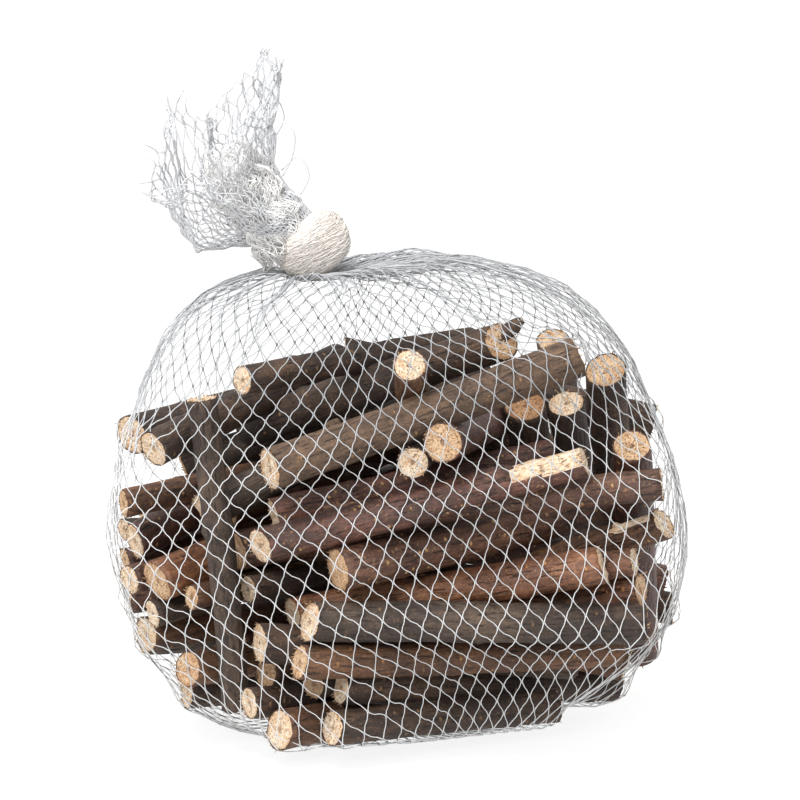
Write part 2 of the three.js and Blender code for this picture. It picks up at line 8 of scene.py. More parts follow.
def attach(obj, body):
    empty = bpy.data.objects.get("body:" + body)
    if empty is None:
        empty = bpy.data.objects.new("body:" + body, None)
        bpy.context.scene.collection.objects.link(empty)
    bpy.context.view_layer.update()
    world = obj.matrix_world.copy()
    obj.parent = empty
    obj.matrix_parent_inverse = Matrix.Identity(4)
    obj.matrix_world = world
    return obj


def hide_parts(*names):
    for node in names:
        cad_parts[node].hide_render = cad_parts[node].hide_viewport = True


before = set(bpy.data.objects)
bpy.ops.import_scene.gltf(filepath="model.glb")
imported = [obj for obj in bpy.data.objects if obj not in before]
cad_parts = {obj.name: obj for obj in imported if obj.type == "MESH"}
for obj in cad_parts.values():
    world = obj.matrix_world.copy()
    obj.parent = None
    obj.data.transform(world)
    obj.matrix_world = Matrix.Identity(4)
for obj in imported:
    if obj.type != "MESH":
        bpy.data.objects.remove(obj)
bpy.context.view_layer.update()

# Sizes and places below are in millimetres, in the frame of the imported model, and MM turns them into metres.
MM = 0.001
SEED = 7

# The camera: straight from the front and a little from above.
CAMERA_DISTANCE = 900
CAMERA_ELEVATION = math.radians(10)
CAMERA_AIM = (0, 0.5, 101.5)
CAMERA_LENS = 131.6  # on a sensor 36 wide
EYE = np.array([
    CAMERA_AIM[0],
    CAMERA_AIM[1] - CAMERA_DISTANCE * math.cos(CAMERA_ELEVATION),
    CAMERA_AIM[2] + CAMERA_DISTANCE * math.sin(CAMERA_ELEVATION),
])

# Twigs
SECTIONS = 56
SIDES = 34
END_BAND = 2.4  # vertices of a packed twig this close to its end belong to the cut face
END_SHARE = 0.14  # share of the length over which a sloping cut shifts the bark
END_SLOPE = 0.14
OFFSET_PER_TWIG = 150  # moves each twig's material along its own axis, so that no two look alike
CUT_RINGS = [(0.93, 0.1), (0.9, -0.12), (0.74, 0), (0.56, 0), (0.38, 0), (0.2, 0.05), (0.08, 0.3)]
CUT_ROUGHNESS = 0.16
RIM_ROUGHNESS = 0.22
SPLINTERS = 14
SPLINTER_LENGTH = (0.5, 1.5)
SPLINTER_WIDTH = 0.28

# What each twig looks like. Angles are in degrees about the twig, 0 towards the camera and 90 upwards, and
# places are shares of the length from the near end. scars: (place, angle, radius). rings: places.
# peel: (from, to, lowest angle, highest angle, depth). notch: (place, angle, radius, depth).
TWIG_LOOKS = {
    "twig_front_01": {"bark": "dark", "scars": [(0.42, 30, 1.8), (0.9, -20, 1.6)]},
    "twig_front_02": {"bark": "dark", "scars": [(0.55, 20, 1.6)]},
    "twig_front_03": {"bark": "brown", "scars": [(0.27, 10, 2.6)], "rings": [0.27]},
    "twig_front_04": {"bark": "grey", "scars": [(0.22, 5, 2.4), (0.7, 20, 1.4)], "rings": [0.22]},
    "twig_front_05": {"bark": "shiny", "scars": [(0.48, -30, 2.2)], "rings": [0.93]},
    "twig_front_06": {"bark": "lenticel", "notch": (0.74, 60, 2.2, 1.6)},
    "twig_front_07": {"bark": "brown", "peel": (0, 0.13, 25, 120, 1.0)},
    "twig_front_08": {"bark": "purple", "peel": (0.78, 1, -10, 150, 1.4)},
    "twig_front_09": {"bark": "lenticel"},
    "twig_front_10": {"bark": "purple"},
    "twig_front_11": {"bark": "pale", "scars": [(0.92, 0, 1.8)]},
    "twig_front_12": {"bark": "lenticel"},
    "twig_left_01": {"bark": "dark", "scars": [(0.42, 20, 2.4), (0.32, -10, 2)]},
    "twig_left_02": {"bark": "dark"},
    "twig_left_03": {"bark": "brown"},
    "twig_left_05": {"bark": "purple"},
    "twig_left_06": {"bark": "shiny", "wood": "tan"},
    "twig_left_09": {"bark": "brown", "wood": "tan"},
    "twig_left_10": {"bark": "brown", "wood": "tan"},
    "twig_left_14": {"bark": "grey"},
    "twig_left_15": {"bark": "brown"},
    "twig_low_02": {"bark": "brown", "wood": "tan"},
    "twig_upright_01": {"bark": "grey", "scars": [(0.42, 15, 3)], "rings": [0.42]},
    "twig_upright_02": {"bark": "dark", "wood": "tan"},
    "twig_upright_05": {"bark": "dark", "wood": "orange"},
    "twig_top_04": {"bark": "dark", "stub": True},
    "twig_behind_02": {"bark": "shiny", "wood": "tan"},
}
# The share of its full width that the camera sees of a twig's near face, where the photograph shows it.
FACE_SHARES = {
    "twig_front_01": 0.55,
    "twig_front_02": 0.4,
    "twig_front_03": 0.42,
    "twig_front_04": 0.35,
    "twig_front_05": 0.3,
    "twig_front_06": 0.43,
    "twig_front_08": 0.38,
    "twig_front_09": 0.35,
    "twig_front_10": 0.22,
    "twig_front_11": 0.32,
    "twig_left_01": 0.68,
    "twig_left_02": 0.55,
    "twig_left_03": 0.25,
    "twig_left_05": 0.3,
    "twig_left_06": 0.4,
    "twig_low_01": 0.4,
    "twig_low_03": 0.4,
    "twig_low_05": 0.62,
    "twig_low_07": 0.4,
    "twig_top_04": 0.74,
    "twig_upright_02": 0.7,
    "twig_upright_03": 0.8,
    "twig_upright_04": 0.72,
    "twig_upright_05": 0.75,
    "twig_upright_06": 0.6,
}
STEEPEST_CUT = 0.62  # radians from square
# Small moves of a twig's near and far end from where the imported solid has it, which close gaps in the pile
# or bring an end to its place in the picture.
MOVES = {
    "twig_back_02": ((-5, 0, -2), (-6.5, 0, -1.5)),
    "twig_back_04": ((0, 0, 2.4), (0, 0, 2.4)),
    "twig_back_05": ((0, 0, -3.6), (0, 0, -3.6)),
    "twig_back_08": ((0, 0, 1.5), (0, 0, 3)),
    "twig_back_10": ((-6, 0, 0), (-7, 0, -2)),
    "twig_front_02": ((0, 0, 0.6), (0, 0, 2)),
    "twig_front_11": ((3, 0, -1), (-1.5, 0, 1.5)),
    "twig_left_02": ((0, 0, 0), (0, 0, -4.5)),
    "twig_low_04": ((0, 0, -0.8), (0, 0, -0.8)),
    "twig_top_01": ((-3, -4.5, 3.5), (0, 0, 0)),
    "twig_top_02": ((0, 0, 2), (0, 0, 0)),
    "twig_top_03": ((4, 0, -1.5), (2, 0, 0)),
    "twig_top_04": ((-1, 0, 4), (1, 0, 1)),
    "twig_upright_02": ((-2.5, 0, 0), (-1, 0, 0)),
    "twig_upright_03": ((-4, 0, -2.5), (5, 0, 6)),
    "twig_upright_04": ((-0.6, 0, 0), (0, 0, 0)),
    "twig_upright_05": ((-1, 0, -2), (0.8, 0, 0)),
    "twig_upright_06": ((2, 0, 0), (1, 0, 0)),
}
NO_MOVE = ((0, 0, 0), (0, 0, 0))
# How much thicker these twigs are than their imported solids.
THICKER = {
    "twig_back_04": 1.05,
    "twig_back_08": 1.12,
    "twig_back_10": 1.12,
    "twig_front_02": 1.12,
    "twig_top_04": 1.25,
    "twig_upright_04": 1.12,
    "twig_upright_05": 1.08,
    "twig_upright_06": 1.15,
}
NEAR_END_RIGHT = ("twig_front_07", "twig_front_12", "twig_top_04")  # twigs whose near end is the right one
STRAY = 1.35  # vertices this many times the usual distance from a twig's axis belong to a knob
BOW_CLEAR = 25  # vertices this near to an end say nothing of the twig's bow
OTHER_BARKS = ["dark", "brown", "grey", "dark", "lenticel", "purple"]
OTHER_WOODS = ["pale", "pale", "tan"]

# The side branch's stub, as it leaves its twig near the end.
STUB_TWIG = "twig_top_04"
STUB_TWIG_LENGTH = 100
STUB_CLEAR = 70  # vertices this near to the twig's far end are none of the stub's
STUB_PLACE = 6
STUB_WAY = (0.8, 0.15, 0.58)
STUB_SECTIONS = [(-3, 3.3), (1, 3.1), (4, 2.8), (7, 2.5), (10, 2.2), (12, 1.9), (13.2, 1.0)]
STUB_SIDES = 14

# The pouch of netting
COLUMNS = 80
HALF_ROWS = 51
THREAD_SIDES = 3
THREAD_RADIUS = 0.165
NODE_RADIUS = 0.27
NODE_HALF_HEIGHT = 0.5
LEAN = 0.1  # how far the mesh moves towards the right on its way down the front, as a share of the way round
LEAN_LEFT = (0.4, 0.7)  # shares of the way round between which the lean grows on the left
ROW_RISE = 8  # how many rows higher the right side is than the left
FLOOR_HEIGHT = 0.42
# Each row: height, left and right ends, half depth, how square its plan is, how much higher its right side
# is than its left, and how far back that side lies.
POUCH_ROWS = [
    (0.4, -14, -4, 5, 2, 0, 0),
    (0.4, -29, 20, 18, 2, 0, 3),
    (1, -44, 42, 30, 2.2, 2, 13),
    (8, -62, 62, 45, 2.5, 2.5, 15),
    (23, -76, 77, 56, 2.8, 2, 10),
    (41, -83.5, 84.5, 61, 3.4, 0.5, 3),
    (60, -88.5, 87.5, 62, 3.8, 0, 0),
    (79, -87.5, 85, 62, 3.8, 0, 0),
    (98, -81, 78.3, 61, 3.4, 0, 0),
    (114, -75.5, 71, 56, 3, 0, 0),
    (127, -67.5, 61, 47, 2.5, 0, 0),
    (137, -58, 45, 34, 2.1, 1.5, 0),
    (142.5, -42, 18, 20, 2, 2, 0),
    (141, -34.5, -12, 10, 2, 1, 0),
    (139.5, -33, -19, 7, 2, 0, 0),
]
HUG_DEPTH = 13  # how far the front and the back of the net may sink towards the twigs
HUG_HEIGHT = 112
NET_GAP = 1.3  # from a twig's surface to the middle of a crossing
STRAND_GAP = 0.35
HUG_STEPS = 120
HUG_STEP = 0.16
PLEAT_START = 0.54  # share of the way up where the gathering starts
PLEATS = [(9, 0.5, 0.9), (15, 0.35, 2.1), (24, 0.22, 0.4)]  # how many, how strong, and their phase
PLEAT_DEPTH = 2.6
CROSSING_WIDTH = 0.28  # between the two threads of a crossing

# Folds of the net that run down from the knot: bunches of threads along the crossings, over 6 to 15 rows
FOLDS = 18
FOLD_THREADS = 5
FOLD_ROWS = (6, 15)
FOLD_WIDTH = 1.6
FOLD_LIFT = 0.5
FOLD_SWAY = 0.35
FOLD_POINTS = 24

# The knot: netting wound round the neck, about an axis that leans to the left.
KNOT_MIDDLE = np.array([-26.4, 0, 148.9])
KNOT_AXIS = np.array([-0.5, 0, 0.866])
KNOT_RADIUS = 12.0
KNOT_HALF_LENGTH = 8.6
KNOT_DEPTH_SHARE = 0.9
KNOT_THREADS = 330
KNOT_THREAD_RADIUS = 0.15
KNOT_CORE_DEPTH = 0.7

# The tail: each loop runs from the right wing round the back.
TAIL_COLUMNS = 50
TAIL_THREAD_RADIUS = 0.26
TAIL_HALF_ROWS = 19
TAIL_CRUMPLES = [(3.8, 16, 3), (2, 7, 4)]  # how deep, how wide, and a seed
TAIL_LOOPS = [
    [(-27, 0, 159.5), (-33, 7, 156), (-39.5, 0, 149.5), (-33.6, -7, 154)],
    [(-34, 0, 168), (-43, 10, 162), (-54, 0, 149.5), (-43, -10, 158)],
    [(-39, 0, 182), (-52, 12, 172), (-68, 0, 156), (-53, -12, 166)],
    [
        (-35.5, 0, 206.5), (-45, 8, 202), (-57, 11, 189), (-68, 9, 188),
        (-74.5, 0, 177), (-70, -10, 168), (-56, -12, 180), (-43, -8, 194),
    ],
]
CORE_THREADS = 1000
CORE_THREAD_RADIUS = 0.17
CORE_ROOT = np.array([-34.5, 0, 150.5])
CORE_AXIS = np.array([-0.6, 0, 0.8])
CORE_LENGTH = 35
CORE_RADIUS = (10, 9.5)
CORE_DEPTH_SHARE = 0.8
CORE_LUMP = (-0.12, 0.62, 0.84)  # from and to, as shares of the length, and its share of the width
LOOSE_LOOPS = [
    [(-39, -4, 183), (-35.5, -6, 187.5), (-31.8, -6, 184), (-32.5, -5, 177), (-35.5, -4, 171)],
    [(-36, 3, 172), (-31, 4, 176), (-27.8, 4, 171), (-29.5, 3, 166), (-32, 3, 163.5)],
    [(-41, 2, 190), (-37, 2, 193), (-35.2, 2, 188), (-37.5, 1, 183), (-40, 1, 180)],
]
FRAYED_ENDS = 46

# Looks
PAINTED_SHADE_HEIGHTS = (0.088, 0.112)  # metres up, between which the netting's tint turns greyer: painted shade on the upper net, which stands against the white backdrop
PITH_RADII = (0.001, 0.0006)  # metres from a twig's axis, between which the pith begins
RIM_RADII = (0.0034, 0.0052)
CRACK_COLOUR = "#17110f"
BARK_BUMP = 0.0009
WOOD_BUMP = 0.0007
THREAD_BUMP = 0.00005
FLOOR_SIZE = 4
FLOOR_GLOW = 0.85
WORLD_LIGHT = 1.05
LIGHT_AIM = 0.08  # the height that the lights point at


def srgb(text):
    """A colour written as #rrggbb, as the linear values that shaders take."""
    parts = [int(text[i:i + 2], 16) / 255 for i in (1, 3, 5)]
    linear = [p / 12.92 if p <= 0.04045 else ((p + 0.055) / 1.055) ** 2.4 for p in parts]
    return (*linear, 1)


class Shader:
    """A node material under construction."""

    def __init__(self, name, roughness):
        self.material = bpy.data.materials.new(name)
        self.material.use_nodes = True
        self.tree = self.material.node_tree
        self.surface = self.tree.nodes["Principled BSDF"]
        self.surface.inputs["Roughness"].default_value = roughness
        self.place = self.add("ShaderNodeTexCoord").outputs["Object"]

    def feed(self, socket, value):
        """Gives a socket a plain value, or links it to another node's output."""
        if isinstance(value, (float, int, tuple)):
            socket.default_value = value
        else:
            self.tree.links.new(value, socket)

    def add(self, kind, inputs=None, **settings):
        """A new node, with values or outputs for some of its inputs."""
        node = self.tree.nodes.new(kind)
        for key, value in settings.items():
            setattr(node, key, value)
        for key, value in (inputs or {}).items():
            self.feed(node.inputs[key], value)
        return node

    def stretched(self, scale):
        return self.add("ShaderNodeMapping", {"Vector": self.place, "Scale": scale}).outputs["Vector"]

    def noise(self, scale, stretch=(1, 1, 1), detail=3, roughness=0.55):
        inputs = {
            "Scale": scale, "Detail": detail, "Roughness": roughness, "Vector": self.stretched(stretch),
        }
        return self.add("ShaderNodeTexNoise", inputs).outputs["Fac"]

    def cells(self, scale, stretch=(1, 1, 1)):
        node = self.add("ShaderNodeTexVoronoi", {"Vector": self.stretched(stretch), "Scale": scale})
        return node.outputs["Distance"], node.outputs["Color"]

    def ramp(self, factor, stops):
        """A colour for each value, from stops in rising order."""
        node = self.add("ShaderNodeValToRGB", {"Fac": factor})
        elements = node.color_ramp.elements
        for place, _ in stops[1:-1]:
            elements.new(place)
        for element, (place, colour) in zip(elements, stops):
            element.position = place
            element.color = colour
        return node.outputs["Color"]

    def level(self, factor, low, high):
        """0 below low and 1 above high, or the other way round where low is above high."""
        inputs = {"Value": factor, "From Min": low, "From Max": high}
        return self.add("ShaderNodeMapRange", inputs).outputs["Result"]

    def mix(self, factor, one, other):
        return self.add("ShaderNodeMix", {0: factor, 6: one, 7: other}, data_type="RGBA").outputs[2]

    def combine(self, operation, one, other):
        return self.add("ShaderNodeMath", {0: one, 1: other}, operation=operation).outputs[0]

    def total(self, *terms):
        """The sum of (output, weight) terms."""
        result = 0.0
        for output, weight in terms:
            result = self.combine("ADD", self.combine("MULTIPLY", output, weight), result)
        return result

    def finish(self, colour, height, depth):
        bump = self.add("ShaderNodeBump", {"Strength": 1, "Distance": depth, "Height": height})
        self.feed(self.surface.inputs["Base Color"], colour)
        self.feed(self.surface.inputs["Normal"], bump.outputs["Normal"])
        return self.material


def bark_material(name, dark, middle, light, spots, spot_share, roughness):
    """Bark: patches, lengthwise streaks and cracks, and pale lenticels that lie across the twig."""
    shader = Shader("bark_" + name, roughness)
    patches = shader.noise(60, (1, 1, 0.6), 3)
    blotches = shader.noise(330, (1, 1, 0.7), 4, 0.6)
    streaks = shader.noise(520, (1, 1, 0.2), 5, 0.7)
    grain = shader.noise(1700, (1, 1, 0.55), 3, 0.7)
    ridges = shader.noise(1000, (1, 1, 0.16), 3)
    tone = shader.total((patches, 0.34), (blotches, 0.2), (streaks, 0.26), (grain, 0.2))
    colour = shader.ramp(tone, [(0.38, srgb(dark)), (0.5, srgb(middle)), (0.62, srgb(light))])
    cracks = shader.level(ridges, 0.42, 0.33)
    colour = shader.mix(shader.combine("MULTIPLY", cracks, 0.65), colour, srgb(CRACK_COLOUR))
    distance, chance = shader.cells(260, (1, 1, 1.35))
    chosen = shader.level(chance, spot_share, spot_share - 0.04)
    near = shader.level(distance, 0.24, 0.1)
    spot = shader.combine("MULTIPLY", near, chosen)
    colour = shader.mix(shader.combine("MULTIPLY", spot, 0.85), colour, srgb(spots))
    flakes = shader.level(shader.noise(900, (1, 1, 1.2), 3, 0.7), 0.6, 0.68)
    colour = shader.mix(shader.combine("MULTIPLY", flakes, 0.45), colour, srgb(spots))
    raised = ((blotches, 0.4), (streaks, 0.6), (grain, 0.35), (spot, 0.5))
    height = shader.total(*raised, (cracks, -0.5), (ridges, 0.3))
    return shader.finish(colour, height, BARK_BUMP)


def wood_material(name, pale, tan, speck):
    """A cut or torn face: rough pale wood with dark pores and a darker pith and rim."""
    shader = Shader("wood_" + name, 0.85)
    fibres = shader.noise(1300, (1, 1, 0.5), 4, 0.75)
    patches = shader.noise(260, (1, 1, 0.4), 2)
    tone = shader.total((fibres, 0.65), (patches, 0.35))
    colour = shader.ramp(tone, [(0.4, srgb(tan)), (0.56, srgb(pale))])
    pores = shader.level(shader.noise(1500, (1, 1, 0.4), 3, 0.8), 0.56, 0.64)
    colour = shader.mix(shader.combine("MULTIPLY", pores, 0.75), colour, srgb(speck))
    flat = shader.stretched((1, 1, 0))
    radius = shader.add("ShaderNodeVectorMath", {0: flat}, operation="LENGTH").outputs["Value"]
    pith = shader.combine("MULTIPLY", shader.level(radius, *PITH_RADII), 0.5)
    rim = shader.level(radius, *RIM_RADII)
    colour = shader.mix(shader.combine("MULTIPLY", rim, 0.35), colour, srgb(tan))
    colour = shader.mix(pith, colour, srgb(speck))
    height = shader.total((fibres, 0.8), (patches, 0.4), (pores, -0.6))
    return shader.finish(colour, height, WOOD_BUMP)


def thread_material(name, colour, upper, roughness, glow):
    """Fine twisted thread, a little shiny, and greyer from a given height up, which is painted shade on the
    upper net.
    """
    shader = Shader(name, roughness)
    twist = shader.noise(3000, (1, 1, 1), 2)
    tint = shader.ramp(twist, [(0.3, srgb(colour[0])), (0.7, srgb(colour[1]))])
    grey = shader.ramp(twist, [(0.3, srgb(upper[0])), (0.7, srgb(upper[1]))])
    height = shader.add("ShaderNodeSeparateXYZ", {0: shader.place}).outputs["Z"]
    # Painted shade: the tint turns greyer from a given height up.
    tint = shader.mix(shader.level(height, *PAINTED_SHADE_HEIGHTS), tint, grey)
    shader.surface.inputs["Subsurface Weight"].default_value = glow
    shader.surface.inputs["Subsurface Scale"].default_value = 0.0006
    shader.surface.inputs["Subsurface Radius"].default_value = (1, 1, 1)
    return shader.finish(tint, twist, THREAD_BUMP)


def floor_material():
    """Grey ground with a glow of its own, which shows white and next to no shadow."""
    shader = Shader("floor", 0.9)
    shade = shader.noise(6, (1, 1, 1), 2)
    colour = shader.ramp(shade, [(0, srgb("#707070")), (1, srgb("#787878"))])
    shader.surface.inputs["Emission Color"].default_value = (1, 1, 1, 1)
    shader.surface.inputs["Emission Strength"].default_value = FLOOR_GLOW
    return shader.finish(colour, shade, 0.00001)


BARK_LOOKS = {
    "dark": ("#1d1411", "#382921", "#5f4734", "#8c6b49", 0.34, 0.72),
    "grey": ("#201915", "#3f322a", "#635142", "#816546", 0.36, 0.72),
    "brown": ("#2c1b13", "#573b29", "#885f40", "#a97b4e", 0.36, 0.68),
    "purple": ("#241511", "#4a2d24", "#774b3c", "#bb9060", 0.46, 0.5),
    "lenticel": ("#291913", "#55382b", "#855d46", "#c49968", 0.58, 0.55),
    "shiny": ("#3b2318", "#714932", "#a57450", "#cd945d", 0.34, 0.4),
    "pale": ("#2d2119", "#594434", "#80654d", "#9d7851", 0.34, 0.72),
}
WOOD_LOOKS = {
    "pale": ("#f1dfc6", "#d0a57a", "#73492b"),
    "tan": ("#e0c09c", "#b88c63", "#5f3c24"),
    "orange": ("#cfa37a", "#9c6d45", "#55321c"),
}
BARKS = {name: bark_material(name, *look) for name, look in BARK_LOOKS.items()}
WOODS = {name: wood_material(name, *look) for name, look in WOOD_LOOKS.items()}
# Painted shade: the greyer tint of the pouch's netting high up, where it stands against the white backdrop.
UPPER_PAINTED_SHADE = ("#9fa1a4", "#b2b4b6")
# Painted shade: a greyer copy of the netting's tint for the tail, its loose loops and frayed ends, which stand
# against the white backdrop.
TAIL_PAINTED_SHADE = ("#c0c1c4", "#cfd0d2")
NETTING = thread_material("netting", ("#cbccce", "#dcdddd"), UPPER_PAINTED_SHADE, 0.4, 0.15)
SHADED_TAIL_NETTING = thread_material("netting_tail_painted_shade", TAIL_PAINTED_SHADE, TAIL_PAINTED_SHADE, 0.4, 0.2)
# Its second pair of colours is painted shade, the greyer tint of the netting high up.
KNOTTED = thread_material("netting_knotted", ("#ddd5cc", "#eae3dc"), ("#d8d0c8", "#e6dfd8"), 0.5, 0.3)
# Painted light: a brighter, more translucent copy of the netting for the tail's dense core and lump, which
# lifts the shade among its threads.
CORE_PAINTED_LIGHT = thread_material("netting_bunched_painted_light", ("#eeedeb", "#f6f5f3"), ("#eeedeb", "#f6f5f3"), 0.5, 0.4)


def add_object(name, data):
    obj = bpy.data.objects.new(name, data)
    bpy.context.scene.collection.objects.link(obj)
    return obj


def make_mesh(name, vertices, faces, materials, face_materials=None):
    """An object from vertices in metres, with smooth faces."""
    mesh = bpy.data.meshes.new(name)
    mesh.from_pydata(np.asarray(vertices).tolist(), [], faces)
    for material in materials:
        mesh.materials.append(material)
    if face_materials is not None:
        mesh.polygons.foreach_set("material_index", np.asarray(face_materials, dtype=np.int32))
    mesh.polygons.foreach_set("use_smooth", np.ones(len(mesh.polygons), dtype=bool))
    mesh.update()
    return add_object(name, mesh)


def unit(vectors):
    return vectors / np.maximum(np.linalg.norm(vectors, axis=-1, keepdims=True), 1e-9)


def smooth_step(share):
    share = np.clip(share, 0, 1)
    return share * share * (3 - 2 * share)


def lattice_noise(rng, along, around, cells_along, cells_around):
    """Smooth noise from -1 to 1 for shares along and around a twig. It closes on itself around."""
    values = rng.uniform(-1, 1, (cells_along + 2, cells_around))
    rows = along * cells_along
    columns = around * cells_around
    row = np.floor(rows).astype(int)
    column = np.floor(columns).astype(int)
    down = smooth_step(rows - row)[:, None]
    right = smooth_step(columns - column)[None, :]
    left_values = values[:, column % cells_around]
    right_values = values[:, (column + 1) % cells_around]
    across = left_values * (1 - right) + right_values * right
    return across[row] * (1 - down) + across[row + 1] * down


def middle_line(node, region):
    """The near, middle and far points of a packed twig, and its radius at both ends."""
    points = np.array([v.co[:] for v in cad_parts[node].data.vertices]) / MM
    if node == STUB_TWIG:
        tip = points[points[:, 0].argmin()]
        points = points[np.linalg.norm(points - tip, axis=1) < STUB_CLEAR]
    axis = np.linalg.svd(points - points.mean(axis=0))[2][0]
    for _ in range(3):
        middle = points.mean(axis=0)
        along = (points - middle) @ axis
        aside = np.linalg.norm(points - middle - along[:, None] * axis, axis=1)
        points = points[aside < STRAY * np.median(aside)]
        low = points[(points @ axis) < (points @ axis).min() + END_BAND]
        high = points[(points @ axis) > (points @ axis).max() - END_BAND]
        axis = unit(high.mean(axis=0) - low.mean(axis=0))
    ends = [low, high]
    place = {"upright": lambda p: -p[2], "top": lambda p: p[1]}.get(region, lambda p: p[0])
    if node in NEAR_END_RIGHT or region == "behind":
        place = lambda p: -p[0]
    ends.sort(key=lambda group: place(group.mean(axis=0)))
    near, far = (group.mean(axis=0) for group in ends)
    radii = [np.linalg.norm(group - group.mean(axis=0), axis=1).mean() for group in ends]
    if node == STUB_TWIG:
        near = far + unit(near - far) * STUB_TWIG_LENGTH
        bow = np.zeros(3)
    else:
        clear = [p for p in points if min(np.linalg.norm(p - near), np.linalg.norm(p - far)) > BOW_CLEAR]
        bow = np.mean(clear, axis=0) - (near + far) / 2
    first, second = np.array(MOVES.get(node, NO_MOVE))
    near, far = near + first, far + second
    return near, (near + far) / 2 + bow, far, [r * THICKER.get(node, 1) for r in radii]


def angle_gap(one, other):
    """The difference of two angles in radians, from -pi to pi."""
    return (one - other + math.pi) % (2 * math.pi) - math.pi


def bark_relief(rng, along, around, length, radius, look, up):
    """How far the bark stands from a plain twig, in millimetres, over its length and around it."""
    angles = around * 2 * math.pi

    def gaps(place, degrees):
        """How far each vertex is from a place, along and around the twig."""
        gap_around = angle_gap(angles, up * math.radians(degrees))[None, :] * radius
        return (along[:, None] - place) * length, gap_around

    relief = 0.035 * radius * lattice_noise(rng, along, around, 3, 3)
    relief += 0.16 * lattice_noise(rng, along, around, 12, 6)
    relief += 0.11 * lattice_noise(rng, along, around, 22, 14)
    relief += 0.06 * rng.uniform(-1, 1, relief.shape)
    rings = look.get("rings", []) + list(rng.uniform(0.12, 0.9, rng.integers(1, 3)))
    for place in rings:
        lean = rng.uniform(-1.5, 1.5) * np.cos(angles - rng.uniform(0, 6))
        gap = (along[:, None] - place) * length + lean[None, :]
        relief += 0.35 * np.exp(-(gap / 1.4) ** 2) - 0.12 * np.exp(-((gap - 2.4) / 1.2) ** 2)
    extra = [(rng.uniform(0.1, 0.9), rng.uniform(-180, 180), rng.uniform(1, 1.8)) for _ in range(2)]
    for place, degrees, size in look.get("scars", []) + extra:
        far = np.hypot(*gaps(place, degrees)) / size
        relief += 0.32 * size * np.exp(-far ** 2) - 0.3 * size * np.exp(-(far * 2.2) ** 2)
    if "notch" in look:
        place, degrees, size, depth = look["notch"]
        gap_along, gap_around = gaps(place, degrees)
        relief -= depth * np.exp(-np.hypot(gap_along / size, gap_around / (1.6 * size)) ** 4)
    return relief - 0.15


def peeled_share(rng, along, around, look, up):
    """1 where the bark is gone, 0 elsewhere."""
    share = np.zeros((len(along), len(around)))
    if "peel" in look:
        start, stop, lowest, highest, _ = look["peel"]
        middle = up * math.radians((lowest + highest) / 2)
        half = math.radians((highest - lowest) / 2)
        ragged = 0.12 * lattice_noise(rng, along, around, 16, 12)
        gap = np.abs(angle_gap(around * 2 * math.pi, middle))[None, :] / half
        wide = (gap + ragged) < 1
        long = (along[:, None] + 0.05 * ragged > start) & (along[:, None] + 0.05 * ragged < stop + 0.01)
        share[wide & long] = 1
    return share


def grid_faces(rows, columns, start=0):
    """Quads over rows of vertices that close on themselves."""
    faces = []
    for row in range(rows - 1):
        for column in range(columns):
            a = start + row * columns + column
            b = start + row * columns + (column + 1) % columns
            faces.append((a, b, b + columns, a + columns))
    return faces


def fan_faces(last, count, tip):
    """Triangles that close the last ring of vertices at a tip."""
    return [(last + k, last + (k + 1) % count, tip) for k in range(count)]


def cut_face(rng, rim, centre, way, start):
    """Rings of vertices that close an end, from the rim of the bark to the pith. way points out."""
    count = len(rim)
    vertices = []
    for share, depth in CUT_RINGS:
        rough = CUT_ROUGHNESS * rng.uniform(-1, 1, count) * (share < 0.9)
        ring = centre + (rim - centre) * share
        vertices.append(ring - way * (depth + rough)[:, None])
    vertices = np.vstack(vertices + [(centre - 0.3 * way)[None, :]])
    faces = grid_faces(len(CUT_RINGS), count, start)
    last = start + (len(CUT_RINGS) - 1) * count
    return vertices, faces + fan_faces(last, count, start + len(vertices) - 1)


def splinters(rng, rim, centre, way, start):
    """Small torn fibres that stand up round a cut end."""
    vertices = []
    faces = []
    for pick in rng.choice(len(rim), SPLINTERS, replace=False):
        root = rim[pick] * 0.96 + centre * 0.04
        outward = unit(rim[pick] - centre)
        side = np.cross(way, outward)
        lean = outward * rng.uniform(0, 0.7) + way * rng.uniform(0.3, 1) + side * rng.uniform(-0.6, 0.6)
        tip = root + unit(lean) * rng.uniform(*SPLINTER_LENGTH)
        base = start + len(vertices)
        vertices += [root + side * SPLINTER_WIDTH, root - side * SPLINTER_WIDTH, root - outward * 0.4, tip]
        faces += [(base, base + 1, base + 3), (base + 1, base + 2, base + 3)]
        faces += [(base + 2, base, base + 3), (base, base + 2, base + 1)]
    return np.array(vertices), faces


def stub_mesh(rng, near, axis_z, start):
    """The torn stub of a side branch, in the frame of the model."""
    root = near + axis_z * STUB_PLACE
    way = unit(np.array(STUB_WAY))
    side = unit(np.cross(way, (0, 1, 0)))
    other = np.cross(way, side)
    vertices = []
    for along, radius in STUB_SECTIONS:
        for k in range(STUB_SIDES):
            angle = 2 * math.pi * k / STUB_SIDES
            reach = radius * (1 + 0.12 * rng.uniform(-1, 1))
            ragged = rng.uniform(-1.2, 0.6) if along > 11 else 0
            around = side * math.cos(angle) + other * math.sin(angle)
            vertices.append(root + way * (along + ragged) + around * reach)
    vertices.append(root + way * (STUB_SECTIONS[-1][0] - 1.5))
    faces = grid_faces(len(STUB_SECTIONS), STUB_SIDES, start)
    last = start + (len(STUB_SECTIONS) - 1) * STUB_SIDES
    return np.array(vertices), faces, fan_faces(last, STUB_SIDES, start + len(vertices) - 1)


def cut_slope(node, near, axis_x, axis_z):
    """How steeply the near end is cut, so that the camera sees as much of its face as it should."""
    if node not in FACE_SHARES:
        return 0
    view = unit(EYE - near)
    turned = math.atan2(view @ -axis_z, view @ axis_x)
    tilt = math.asin(FACE_SHARES[node]) - turned
    return math.tan(max(-STEEPEST_CUT, min(STEEPEST_CUT, tilt)))


